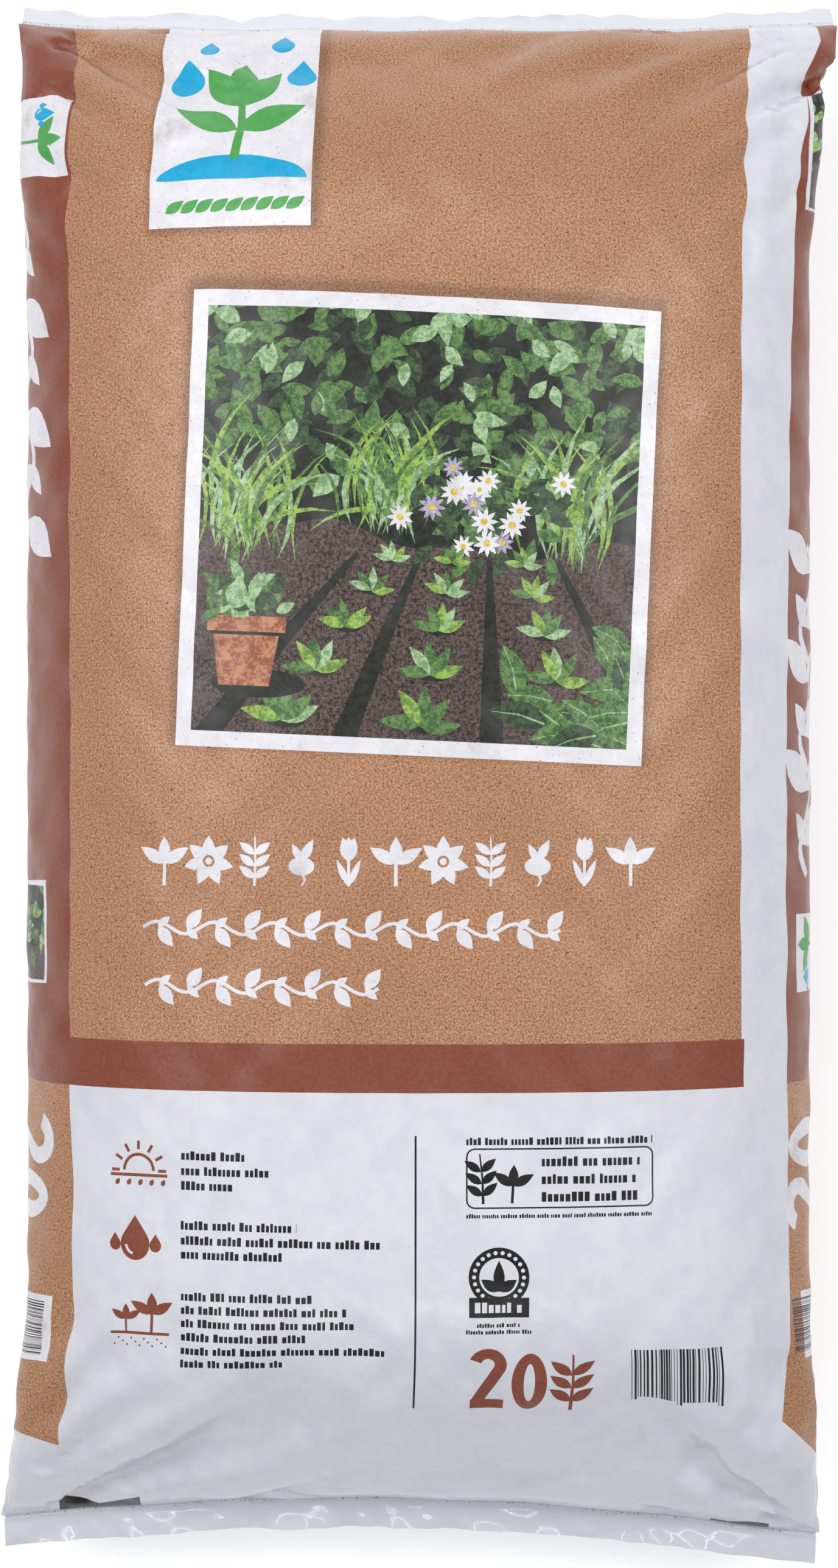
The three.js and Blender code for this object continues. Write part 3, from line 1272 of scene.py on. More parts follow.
# The left gusset, which is printed upside down, and the right one.
SIDE_ROWS = {
    -1: SideRows((532.0, 568.5), 131.6, (400.0, 517.0), (236.0, 273.5), 145.5, 188.0, (98.0, 123.0), 138.0),
    1: SideRows((232.5, 261.0), 150.0, (275.0, 396.0), (519.0, 573.0), 147.0, 148.0, (102.0, 125.5), 148.0),
}


@dataclass
class FilmPrint(Drawing):
    """The whole print of the film, by its places on the flat tube in millimetres."""

    sizes: BagSizes
    film_length: float
    kraft_left: float = -131.0
    kraft_right: float = 119.3
    kraft_foot: float = 217.3
    band_foot: float = 200.2
    side_right: float = 145.0
    side_middle: float = 160.0
    side_reach: float = 30.0
    top_margin: float = 1.6

    def __post_init__(self) -> None:
        """Draw everything, from the fields of colour up."""
        self._fields()
        for side in (-1, 1):
            self._side_print(side)
        self._label()
        self.shapes += GardenPicture(Place(-86.4, 322.2, -2.6)).shapes
        self._ornament_rows()
        self._signs()
        self._volume_block()
        self._eye_marks()

    def _fields(self) -> None:
        """The kraft panel, the chestnut band and sides, and the same on the back."""
        half = self.sizes.half_girth
        top = self.film_length - self.top_margin
        right_edge = ((-1.2, self.kraft_foot), (-1.6, 498), (0, 555), (2, top))
        left_edge = ((-3.6, top), (-1.4, 604), (0.6, 560), (1.3, 500), (0, 400))
        kraft = [(self.kraft_left, self.kraft_foot)]
        kraft += [(self.kraft_right + x, y) for x, y in right_edge]
        kraft += [(self.kraft_left + x, y) for x, y in left_edge]
        band = box(self.kraft_left, self.band_foot, self.kraft_right, self.kraft_foot)
        back_left = half + self.kraft_left
        back_right = half - self.kraft_right
        left = (
            (-27, 67), (-0.5, 63), (0.5, 80), (3, 112), (2.5, 170), (0.3, 199),
            (4, self.band_foot + 1), (4, top),
        )
        right = (
            (8, 62), (-9.5, 78), (-7, 87), (-5.5, 108), (-4, 130), (-3, 174), (-1.5, 394),
            (-1.5, 480), (-2.5, 505), (-2, 540), (1, 556), (2, 572), (-1.5, 586), (0, 594),
            (2.5, 608), (1, top),
        )
        for row, start, far in (
            (left, self.kraft_left, -back_left), (right, self.side_right, back_right)
        ):
            edge = [(start + x, y) for x, y in row]
            upper = [point for point in edge if point[1] > self.band_foot]
            lower = [point for point in edge if point[1] <= self.band_foot]
            meet = (lower[-1][0], self.band_foot)
            side = [(far, self.band_foot), meet, *upper, (far, top)]
            foot = [(far, lower[0][1]), *lower, meet, (far, self.band_foot)]
            self.add(Ink.CHESTNUT, FLAT, side)
            self.add(Ink.KRAFT, FLAT, foot)
        self.add(Ink.KRAFT, FLAT, kraft)
        self.add(Ink.CHESTNUT, FLAT, band)
        for near, far in ((back_right, half), (-half, -back_left)):
            self.add(Ink.KRAFT, FLAT, box(near, self.kraft_foot, far, top))
            self.add(Ink.CHESTNUT, FLAT, box(near, self.band_foot, far, self.kraft_foot))

    def _side_print(self, side: int) -> None:
        """Ornament along a gusset, read from the side: label, vine, picture, figures and bars.

        Args:
            side: -1 for the left gusset, 1 for the right one.
        """
        white = Motifs(Ink.WHITE, Ink.CHESTNUT)
        rows = SIDE_ROWS[side]
        turn = 90 * side
        middle, reach = self.side_middle * side, self.side_reach
        low, high = rows.label
        inner, far = rows.label_near * side, 200 * side
        label = self.add(Ink.WHITE, FLAT, ((inner, low), (inner, high), (far, high), (far, low)))
        emblem = Place(inner + 22 * side, (low + high) / 2, turn)
        drawn = Motifs(Ink.GREEN, Ink.WHITE).plant(Plant.SPROUT, emblem.within(3, 0), 20)
        drawn += Motifs(Ink.BLUE, Ink.WHITE).rain(emblem.within(-9, 7), 9)
        self.shapes += [replace(shape, window=label) for shape in drawn]
        vine = Place(middle + reach * 0.62 * side, rows.vine[0 if side > 0 else 1], turn)
        self.shapes += white.vine(vine, rows.vine[1] - rows.vine[0], reach * 1.24, 20)
        self._small_picture(side, *rows.picture)
        figures = Place(middle + reach * 0.6 * side, rows.figures_start, turn)
        self.shapes += Motifs(Ink.WHITE, Ink.KRAFT).numerals(figures, 36)
        low, high = rows.bars
        near, far = rows.bars_near * side, 190 * side
        self.add(Ink.WHITE, FLAT, ((near, low), (near, high), (far, high), (far, low)))
        bars = Place(177 * side, low + 2.4 if side > 0 else high - 2.4, turn)
        self.shapes += bar_row(bars, high - low - 4.8, 35.0, 5 + side)

    def _small_picture(self, side: int, low: float, high: float) -> None:
        """A small framed picture of leaves over soil.

        Args:
            side: -1 for the left gusset, 1 for the right one.
            low: Its lower side along the film.
            high: Its upper side along the film.
        """
        near, far = SIDE_ROWS[side].picture_near * side, 196.0 * side
        left, right = sorted((near, far))
        random = np.random.default_rng(30 + side)
        self.add(Ink.WHITE, FLAT, ((near, low), (near, high), (far, high - 1.5), (far, low - 1.5)))
        window = self.add(Ink.SHADE, FLAT, box(left + 2, low + 1, right - 2, high - 2.2))
        self.add(Ink.SOIL, FLAT, box(left, low, right, low + (high - low) * 0.35), window)
        for _ in range(90):
            x = random.uniform(left, right)
            y = random.uniform(low + (high - low) * 0.3, high)
            ink = (Ink.DEEP_LEAF, Ink.LEAF, Ink.GRASS, Ink.PALE_LEAF)[int(random.integers(4))]
            spot = Place(x, y, random.uniform(0, 360))
            self.add(ink, spot, leaf(random.uniform(5, 9), 3.2), window)

    def _label(self) -> None:
        """The white label at the upper left, with a sprout between drops over a row of leaves."""
        top = self.film_length - self.top_margin
        self.add(Ink.WHITE, FLAT, ((-97.2, top), (-96, 506), (-38, 505), (-39.6, top)))
        mound = [(27 * math.cos(a), 10.5 * math.sin(a)) for a in np.linspace(0.1, 3.04, 18)]
        self.add(Ink.BLUE, Place(-67, 524.5, -0.5), [(-27, 0), (27, 0), *mound])
        stem = Place(-66.5, 533, -1)
        self.add(Ink.GREEN, stem, stroke([(0, 0), (1.4, 16), (0, 34)], 3.4, 0.7))
        for turn, rise, length in ((62, 14, 27), (-62, 14, 27), (34, 27, 24), (-34, 27, 24)):
            self.add(Ink.GREEN, stem.within(0, rise, turn), leaf(length, 11.5, 0, 10))
        self.add(Ink.GREEN, stem.within(0, 32), leaf(20, 10.5, 0, 10))
        for x, y, size in ((-21, 35, 18), (21, 38, 15), (-14, 56, 10), (13, 57, 12)):
            self.add(Ink.BLUE, stem.within(x, y), drop(size))
        for k in range(9):
            self.add(Ink.GREEN, Place(-90.0 + 5.4 * k, 511.5, -52), leaf(8.2, 4.2))

    def _ornament_rows(self) -> None:
        """Three rows of white plant ornaments under the picture."""
        white = Motifs(Ink.WHITE, Ink.KRAFT)
        sprout, twig, tulip = (partial(white.plant, p) for p in (Plant.SPROUT, Plant.TWIG, Plant.TULIP))
        row = (sprout, white.flower, twig, white.seed, tulip)
        for k in range(11):
            self.shapes += row[k % len(row)](Place(-90.5 + 16.5 * k, 272.6, -0.4), 17.4)
        self.shapes += white.vine(Place(-98.5, 251.0, -0.2), 148, 13.5, 10.6)
        self.shapes += white.vine(Place(-98, 230.4, -0.2), 84, 13.5, 10.5)

    def _signs(self) -> None:
        """Three chestnut signs at the lower left, each beside rows of blocks, and the divider."""
        signs = Motifs(Ink.CHESTNUT, Ink.BARE)
        self.shapes += signs.sun(Place(-100.2, 162.5), 22)
        self.shapes += signs.rain(Place(-101.5, 139.4), 16)
        self.shapes += signs.planting(Place(-99.5, 106.0), 22)
        rows = (
            (175.7, 23), (170.3, 32), (165.1, 19.5),
            (151.1, 41.5), (145.8, 70.5), (140.8, 36.5),
            (125.8, 48), (120.8, 59.5), (115.8, 62), (110.6, 45), (105.4, 73), (100.2, 36.5),
        )
        for k, (y, length) in enumerate(rows):
            self.shapes += block_row(Place(-84, y, -0.3), length, 3.1, 100 + k)
        self.add(Ink.BLACK, FLAT, box(-1.4, 81.5, -0.7, 185.2))

    def _volume_block(self) -> None:
        """The boxed sign, the ringed sign, the volume's figures and the bars at the lower right."""
        black = Motifs(Ink.BLACK, Ink.BARE)
        chestnut = Motifs(Ink.CHESTNUT, Ink.BARE)
        self.shapes += block_row(Place(16.6, 182.0), 66, 2.6, 120)
        frame = Place(16.5, 159.7)
        self.add(Ink.BLACK, frame, rounded_box(66.5, 21.2, 3))
        self.add(Ink.BARE, frame.within(0.55, 0.55), rounded_box(65.4, 20.1, 2.5))
        self.shapes += black.plant(Plant.TWIG, Place(22.5, 161.4, 4), 17.6)
        self.shapes += black.plant(Plant.SPROUT, Place(32.6, 161.6, -3), 13.5)
        for k, y in enumerate((174.4, 168.2, 162.0)):
            self.shapes += block_row(Place(43, y), 35, 3.4, 130 + k)
        self.shapes += block_row(Place(16.6, 156.4), 66, 1.5, 140)
        self._ringed_leaf(Place(28, 135.6))
        self.add(Ink.BLACK, FLAT, box(17.6, 120.9, 38.6, 128.3))
        self.shapes += block_row(Place(19.6, 122.7), 17.4, 3.8, 150, Ink.BARE)
        self.shapes += block_row(Place(20.4, 117.2), 15.4, 1.6, 151)
        self.shapes += block_row(Place(16.6, 114.6), 23.4, 1.6, 152)
        self.shapes += chestnut.numerals(Place(18.8, 81.6), 25.2)
        self.shapes += chestnut.plant(Plant.TWIG, Place(54.5, 81.6), 25)
        self.shapes += bar_row(Place(76.9, 85.6, 1.0), 33.6, 22.6, 9, -1.6)

    def _ringed_leaf(self, place: Place) -> None:
        """A dark ring with pale beads round a leaf.

        Args:
            place: Its middle.
        """
        self.add(Ink.BLACK, place, disc(10.6, count=40))
        for k in range(22):
            angle = 2 * math.pi * k / 22
            bead = place.within(8.7 * math.cos(angle), 8.7 * math.sin(angle))
            self.add(Ink.BARE, bead, disc(0.75, count=8))
        self.add(Ink.BARE, place, disc(6.9, count=32))
        for turn, length in ((0, 11), (56, 7.5), (-56, 7.5)):
            self.add(Ink.BLACK, place.within(0, -5, turn), leaf(length, 4))

    def _eye_marks(self) -> None:
        """The black marks by which the film is cut, half lost in the gathers at the bottom weld."""
        left = [(-133, 3.0), (-117, 6.0), (-101.5, 6.5), (-101, 21.5), (-117, 12.5), (-133, 17.0)]
        right = [(113, 1.0), (135, 0.8), (135, 11.0), (127, 12.4), (120, 9.6), (113, 11.4)]
        for mark in (left, right):
            self.add(Ink.BLACK, FLAT, mark)


@dataclass(frozen=True)
class CutFilm:
    """The flat film cut along its print: places, triangles, inks, and where grid vertices went."""

    places: np.ndarray
    triangles: np.ndarray
    inks: list[Ink]
    vertex_at: dict[tuple[int, int], int]


@dataclass
class PrintedFilmBag:
    """The bag itself: one mesh cut along the outlines of its print."""

    sizes: BagSizes = BagSizes()
    settling: FilmSettling = FilmSettling()
    settling_ring: int = 140
    settling_rows: int = 116
    fine_step: float = 3.1
    gusset_columns: int = 20
    fin_rows: tuple[float, ...] = (0.05, 0.09, 0.13, 0.18, 0.3, 0.45, 0.62, 0.8, 1.0)
    lumps: tuple[tuple[int, float, float], ...] = ((17, 47.0, 0.34), (29, 31.0, 0.24), (43, 21.0, 0.13))
    lump_sway: float = 2.1
    lump_sway_pitch: float = 0.53
    lump_turn: float = 1.7
    lump_fade: float = 25.0
    merge_distance: float = 0.02
    sharp_angle: float = 65.0

    def build(self) -> bpy.types.Object:
        """Make the mesh and its object.

        Returns:
            The object.
        """
        tube = FilledTube(self.sizes)
        LOG.info("film length %.1f mm, half width %.1f mm", tube.film_length, tube.outline[0].max())
        grid = self._settled_grid(tube)
        across, length = self._spacing(tube)
        film = self._cut(across, length, tube, FilmPrint(self.sizes, tube.film_length).shapes)
        points = self._points(film, grid, tube)
        return self._object(film, points, self._rim(film, across, length), tube)

    def _settled_grid(self, tube: FilledTube) -> FilmGrid:
        """The film over the fill, wrinkled where it is slack.

        Args:
            tube: The filled tube.

        Returns:
            The settled film.
        """
        s = self.sizes
        across = np.linspace(-s.half_girth, s.half_girth, self.settling_ring, endpoint=False)
        length = np.linspace(0, tube.film_length, self.settling_rows)
        shape = tube.body(across, length)
        ring_step = across[1] - across[0]
        shape = self.settling.run(shape, tube.tucked(across, length), ring_step, np.diff(length))
        return FilmGrid(across, length, shape)

    def _spacing(self, tube: FilledTube) -> tuple[np.ndarray, np.ndarray]:
        """The film's grid lines, which have one along each fold and each weld.

        Args:
            tube: The filled tube.

        Returns:
            Lines round the tube, and lines along it with the fins.
        """
        s = self.sizes
        panel = np.linspace(0, s.panel_half, 2 * round(s.panel_half / self.fine_step / 2) + 1)
        gusset = s.panel_half + 2 * s.gusset_depth * np.arange(1, self.gusset_columns) / self.gusset_columns
        half = np.concatenate([panel, gusset, s.half_girth - panel[::-1]])
        across = np.concatenate([-half[:0:-1], half])
        body = np.linspace(0, tube.film_length, 2 * round(tube.film_length / self.fine_step / 2) + 1)
        beyond = np.array(self.fin_rows) * s.fin_length
        return across, np.concatenate([-beyond[::-1], body, tube.film_length + beyond])

    def _cut(self, across: np.ndarray, length: np.ndarray, tube: FilledTube, shapes: list[Shape]) -> CutFilm:
        """Cut the flat film along every outline of the print.

        Args:
            across: Grid lines round the tube.
            length: Grid lines along it, fins included.
            tube: The filled tube.
            shapes: The print in the order in which it is laid down.

        Returns:
            The triangles of the flat film with their inks.
        """
        s = self.sizes
        rows, columns = np.meshgrid(np.arange(len(length)), np.arange(len(across)), indexing="ij")
        is_back = np.abs(across[columns]) > s.half_girth - s.panel_half + NEAR
        is_inside = (length[rows] > NEAR) & (length[rows] < tube.film_length - NEAR)
        is_seam = np.abs(across[columns]) > s.half_girth - NEAR
        is_spare = is_back & is_inside & ((rows % 2 == 1) | ((columns % 2 == 1) & ~is_seam))
        kept = [(int(r), int(c)) for r, c in zip(rows[~is_spare], columns[~is_spare])]
        places = [Vector((across[c], length[r])) for r, c in kept]
        faces = []
        for shape in shapes:
            outline = dense(shape.outline, self.fine_step)
            faces.append(list(range(len(places), len(places) + len(outline))))
            places.extend(Vector(point) for point in outline)
        flat, _, triangles, sources, _, covers = delaunay_2d_cdt(
            places, [], faces, 0, self.merge_distance, True
        )
        order = {id(shape): k for k, shape in enumerate(shapes)}
        windows = [order[id(shape.window)] if shape.window else None for shape in shapes]
        inks = []
        for cover in covers:
            over = set(cover)
            seen = [k for k in over if windows[k] is None or windows[k] in over]
            inks.append(shapes[max(seen)].ink if seen else Ink.BARE)
        found = {}
        for vertex, origins in enumerate(sources):
            for origin in origins:
                if origin < len(kept):
                    found[kept[origin]] = vertex
        return CutFilm(np.array([tuple(v) for v in flat]), np.array(triangles), inks, found)

    def _points(self, film: CutFilm, grid: FilmGrid, tube: FilledTube) -> np.ndarray:
        """Where each place of the cut film lies on the filled bag.

        Args:
            film: The cut film.
            grid: The settled film.
            tube: The filled tube.

        Returns:
            The points in millimetres.
        """
        s = self.sizes
        across, length = film.places[:, 0], film.places[:, 1]
        inside = length.clip(0, tube.film_length)
        points = grid.at(across.clip(-s.half_girth, s.half_girth - NEAR), inside)
        points += grid.normals(across, inside) * self._fine_lift(across, length, tube)[:, None]
        from_weld = np.minimum(length, tube.film_length - length).clip(0)
        ply = tube.ply_offset(across) * s.fin_thickness / 2 * fade(from_weld, s.tuck_run)
        points[:, 2] = (points[:, 2] + ply).clip(0)
        for end, beyond in ((End.BOTTOM, -length), (End.TOP, length - tube.film_length)):
            chosen = beyond > NEAR
            past = beyond[chosen]
            bead = np.sin(math.pi * np.clip(past / s.weld_width, 0, 1)) ** 2
            thickness = s.fin_thickness + 2 * s.weld_ridge * bead
            points[chosen] = tube.fin(across[chosen], past, end, thickness)
        return points

    def _fine_lift(self, across: np.ndarray, length: np.ndarray, tube: FilledTube) -> np.ndarray:
        """Small creases of the film, and the lumps of the fill that show through it.

        Args:
            across: Places round the tube.
            length: Lengths of film from the bottom weld.
            tube: The filled tube.

        Returns:
            The movement along the normal.
        """
        along = tube.along_of(length.clip(0, tube.film_length))
        creases = tube.fold_lift(across, along, SMALL_CREASES)
        turn = math.pi * across / self.sizes.half_girth
        lumps = np.zeros_like(across)
        for k, (round_count, pitch, size) in enumerate(self.lumps):
            sway = self.lump_sway * np.sin(length / pitch * self.lump_sway_pitch + k)
            bend = self.lump_turn * np.sin(5 * turn + 2 * k)
            lumps += size * np.sin(round_count * turn + sway) * np.sin(2 * math.pi * length / pitch + bend)
        edge = np.minimum(along, self.sizes.weld_span - along)
        return creases + lumps * (1 - fade(edge, self.lump_fade))

    def _rim(self, film: CutFilm, across: np.ndarray, length: np.ndarray) -> list[tuple[int, ...]]:
        """Faces that join the front and the back of each fin round its sides and its cut edge.

        Args:
            film: The cut film.
            across: Grid lines round the tube.
            length: Grid lines along it, fins included.

        Returns:
            The faces by their vertices.
        """
        s = self.sizes
        columns = {name: int(np.argmin(np.abs(across - place))) for name, place in (
            ("right", s.panel_half), ("left", -s.panel_half),
            ("back_right", s.half_girth - s.panel_half), ("back_left", s.panel_half - s.half_girth),
        )}
        last = len(across) - 1
        front = list(range(columns["right"], columns["left"] - 1, -1))
        back = [*range(columns["back_right"], last + 1), *range(1, columns["back_left"] + 1)]
        count = len(self.fin_rows)
        faces = []
        for rows, step in ((range(count, -1, -1), 1), (range(len(length) - 1 - count, len(length)), -1)):
            near = [(r, front[0]) for r in rows] + [(rows[-1], c) for c in front[1:-1]]
            near += [(r, front[-1]) for r in reversed(rows)]
            far = [(r, back[0]) for r in rows] + [(rows[-1], c) for c in back[1:-1]]
            far += [(r, back[-1]) for r in reversed(rows)]
            for k in range(len(near) - 1):
                corners = (near[k], near[k + 1], far[k + 1], far[k])[::step]
                faces.append(tuple(film.vertex_at[corner] for corner in corners))
        return faces

    def _object(
        self, film: CutFilm, points: np.ndarray, rim: list[tuple[int, ...]], tube: FilledTube
    ) -> bpy.types.Object:
        """The finished object, with the film's flat places as its texture places.

        Args:
            film: The cut film.
            points: Where its places lie on the filled bag.
            rim: The rim's faces.
            tube: The filled tube.

        Returns:
            The object.
        """
        s = self.sizes
        middle = film.places[film.triangles].mean(1)
        is_fin = (middle[:, 1] < 0) | (middle[:, 1] > tube.film_length)
        in_gusset = np.abs(np.abs(middle[:, 0]) - s.panel_half - s.gusset_depth) < s.gusset_depth
        is_kept = ~(is_fin & in_gusset)
        same = self._seam(film.places)
        corners = film.triangles[is_kept]
        faces = same[corners].tolist() + [[int(same[v]) for v in face] for face in rim]
        flat = np.concatenate([film.places[corners].reshape(-1, 2), self._rim_places(film.places, rim)])
        used = sorted({v for face in faces for v in face})
        renumber = {v: k for k, v in enumerate(used)}
        solid = points[used] * MM
        solid[:, :2] -= (solid[:, :2].min(0) + solid[:, :2].max(0)) / 2
        mesh = bpy.data.meshes.new("printed_film_bag")
        mesh.from_pydata(solid.tolist(), [], [[renumber[v] for v in face] for face in faces])
        size = np.array([2 * s.half_girth, tube.film_length + 2 * (s.fin_length + EDGE_MARGIN)])
        flat = (flat + (s.half_girth, s.fin_length + EDGE_MARGIN)) / size
        layer = mesh.uv_layers.new(name="OFBake")
        layer.data.foreach_set("uv", flat.ravel().astype(np.float32))
        order = list(Ink)
        for ink in order:
            mesh.materials.append(FilmMaterial(FINISHES[ink], s, tube.film_length, ink.value).build())
        chosen = [order.index(ink) for ink, keep in zip(film.inks, is_kept) if keep] + [0] * len(rim)
        mesh.polygons.foreach_set("material_index", chosen)
        mesh.polygons.foreach_set("use_smooth", [True] * len(mesh.polygons))
        mesh.set_sharp_from_angle(angle=math.radians(self.sharp_angle))
        mesh.update()
        piece = bpy.data.objects.new("printed_film_bag", mesh)
        bpy.context.scene.collection.objects.link(piece)
        return piece

    def _seam(self, places: np.ndarray) -> np.ndarray:
        """For each vertex its own number, or at the right of the back seam its partner's.

        Args:
            places: The vertices' places on the flat film.

        Returns:
            The vertices' new numbers.
        """
        same = np.arange(len(places))
        half = self.sizes.half_girth
        left = np.flatnonzero(places[:, 0] < -half + SEAM_NEAR)
        right = np.flatnonzero(places[:, 0] > half - SEAM_NEAR)
        partner = {round(float(places[v, 1]), 2): v for v in left}
        for v in right:
            same[v] = partner.get(round(float(places[v, 1]), 2), v)
        return same

    def _rim_places(self, places: np.ndarray, rim: list[tuple[int, ...]]) -> np.ndarray:
        """Texture places for the rim: a hair's breadth beside the front film's own edge.

        Args:
            places: The vertices' places on the flat film.
            rim: The rim's faces.

        Returns:
            A place for each corner of the rim's faces.
        """
        s = self.sizes
        rows = []
        for face in rim:
            for v in face:
                x, y = places[v]
                if abs(x) > s.half_girth / 2:
                    is_side = abs(abs(x) - s.half_girth + s.panel_half) < SEAM_NEAR
                    x = math.copysign(s.half_girth - abs(x) + (EDGE_MARGIN / 2 if is_side else 0), x)
                    y += math.copysign(EDGE_MARGIN / 2, y)
                rows.append((x, y))
        return np.array(rows)


@dataclass(frozen=True)
class Finish:
    """How one ink, or the bare film, looks.

    base, dark and light are the tone and the two ends of its grain, as sRGB hex. grain_pitch is in
    millimetres on the film. The shares say how strongly the grain, the printed flecks and the dirt
    show, and the fins' share how far the fins are painted paler: painted light, a painted highlight
    for the gleam that the fins catch from the lamps.
    """

    base: str
    dark: str
    light: str
    grain_pitch: float = 9.0
    grain_share: float = 0.25
    fleck_share: float = 0.0
    dirt_share: float = 0.25
    roughness: float = 0.36
    has_picture_shadow: bool = False
    fin_painted_light_share: float = 0.0


FINISHES = {
    # Blown film, white right through: smooth, so it gleams, with cloudy grey where the fill shows. Its fins
    # are painted paler, a painted highlight for the light they catch.
    Ink.BARE: Finish("dcdce2", "d5d6dd", "e3e3e8", 30, 0.4, 0, 0.2, 0.27, fin_painted_light_share=0.5),
    # Printed in the likeness of kraft paper: fine fibres and flecks, and a satin sheen over them.
    Ink.KRAFT: Finish("b07b57", "875736", "d09c76", 0.75, 1.0, 0.95, 0.12, 0.42, True),
    # Solid prints: even colour that hides the film, satin from the lacquer.
    Ink.CHESTNUT: Finish("86452f", "793b27", "91513e", 1.6, 0.5, 0.1, 0.12, 0.36),
    Ink.BLACK: Finish("0d0a0a", "080606", "171213", 3.0, 0.4, 0, 0.1, 0.36),
    # White ink over the kraft: brighter than the bare film, and it shows every smear.
    Ink.WHITE: Finish("e4e1e5", "d9d6dc", "edebee", 14, 0.4, 0, 0.8, 0.34),
    Ink.BLUE: Finish("00a4d3", "0097c6", "1fb0da", 5, 0.4, 0, 0.3, 0.38),
    Ink.GREEN: Finish("4ca04f", "3f9444", "5aa95a", 5, 0.4, 0, 0.3, 0.38),
    # Prints of the picture: halftone that varies within a leaf or a crumb of soil.
    Ink.SOIL: Finish("3a2b29", "150b0b", "6a5650", 1.5, 1.0, 0.3, 0, 0.4),
    Ink.SHADE: Finish("131610", "0a0b08", "242a1c", 3.0, 0.8, 0, 0, 0.4),
    Ink.DEEP_LEAF: Finish("2f4727", "1b2b18", "44603a", 3.2, 0.9, 0, 0, 0.4),
    Ink.LEAF: Finish("4d7338", "34552a", "6c9250", 3.2, 0.9, 0, 0, 0.4),
    Ink.PALE_LEAF: Finish("8db077", "6c9160", "b2cda0", 3.2, 0.9, 0, 0, 0.4),
    Ink.GRASS: Finish("7da044", "5b7f34", "a3c25c", 4.0, 0.9, 0, 0, 0.4),
    Ink.LILAC: Finish("a99db8", "8c7f9f", "c9bfd2", 1.6, 0.8, 0, 0, 0.4),
    Ink.YELLOW: Finish("d8bd48", "b99a30", "ecd877", 1.2, 0.8, 0, 0, 0.4),
    Ink.CLAY: Finish("ad6a48", "86492f", "cc8f6a", 5.0, 0.8, 0, 0, 0.4),
}


@dataclass(frozen=True)
class Pattern:
    """A cloudy pattern on the film: patches about as wide as the pitch in millimetres.

    It rises from 0 where the cloud is at low to 1 where it is at high; without them the cloud is
    left as it is. A stretch above 1 narrows the patches that way.
    """

    pitch: float
    low: float = 0.0
    high: float = 0.0
    detail: float = 3.0
    stretch: Point = (1, 1)
    grit: float = 0.6


# Paper fibres are finer than the render shows, so the kraft's grain is drawn as coarse as it needs.
GRAIN = Pattern(9.0, 0.38, 0.62, grit=0.95)
BROAD_SHADE = Pattern(52, 0.35, 0.7, 2.0)
DARK_FLECKS = Pattern(1.7, 0.68, 0.73, 2.0, (1.0, 1.6))
PALE_FLECKS = Pattern(0.9, 0.66, 0.72, 2.0, (1.3, 1.0))
SMEARS = Pattern(17, 0.58, 0.8, 5.0, (1, 0.6))
SPECKS = Pattern(1.0, 0.775, 0.8, 1.0)
SOIL_CRUMBS = Pattern(0.9, 0.6, 0.66, 3.0, (1, 1.5))
SOIL_CLUSTERS = Pattern(13, 0.4, 0.52, 2.0)
GLOSS = Pattern(6, 0.3, 0.7)
BROAD_RELIEF = Pattern(11)
FINE_RELIEF = Pattern(2.6, detail=2.0)

# The soft shadows printed round the pasted picture and label: middle, width and height.
PRINTED_SHADOWS = (
    (Place(-0.3, 400.9, -2.6), 165.0, 161.0),
    (Place(-66.2, 568.0, 0.4), 58.0, 125.0),
)


def linear(code: str) -> tuple[float, float, float, float]:
    """Turn an sRGB hex code into the linear colour that Blender's sockets take.

    Args:
        code: Six hex digits.

    Returns:
        Red, green, blue and a full alpha.
    """
    channels = [int(code[k : k + 2], 16) / 255 for k in (0, 2, 4)]
    red, green, blue = ((c / 12.92 if c <= 0.04045 else ((c + 0.055) / 1.055) ** 2.4) for c in channels)
    return red, green, blue, 1.0


class Node(Enum):
    """The kinds of node that the materials are made of."""

    PLACE = "ShaderNodeUVMap"
    VECTOR = "ShaderNodeVectorMath"
    TURN = "ShaderNodeVectorRotate"
    SPLIT = "ShaderNodeSeparateXYZ"
    NUMBER = "ShaderNodeMath"
    NOISE = "ShaderNodeTexNoise"
    RAMP = "ShaderNodeMapRange"
    MIX = "ShaderNodeMix"
    BUMP = "ShaderNodeBump"
    RAYS = "ShaderNodeLightPath"
    SURFACE = "ShaderNodeBsdfPrincipled"
    OUTPUT = "ShaderNodeOutputMaterial"


def add_node(
    tree: bpy.types.NodeTree,
    kind: Node,
    inputs: dict[str | int, object],
    output: str | int = 0,
    **settings: object,
) -> bpy.types.NodeSocket | None:
    """Add a node with its settings, fixed inputs and links.

    Args:
        tree: The node tree.
        kind: The node's kind.
        inputs: Values, or sockets to link, by the input's name or number.
        output: The output that is wanted, by name or number.
        settings: The node's own properties.

    Returns:
        That output of the new node, if it has outputs.
    """
    node = tree.nodes.new(kind.value)
    for name, value in settings.items():
        setattr(node, name, value)
    for key, value in inputs.items():
        if isinstance(value, bpy.types.NodeSocket):
            tree.links.new(value, node.inputs[key])
        else:
            node.inputs[key].default_value = value
    return node.outputs[output] if node.outputs else None


def empty_material(name: str) -> bpy.types.Material:
    """Start a material without nodes.

    Args:
        name: What it is called.

    Returns:
        The material.
    """
    material = bpy.data.materials.new(name)
    material.use_nodes = True
    material.node_tree.nodes.clear()
    return material


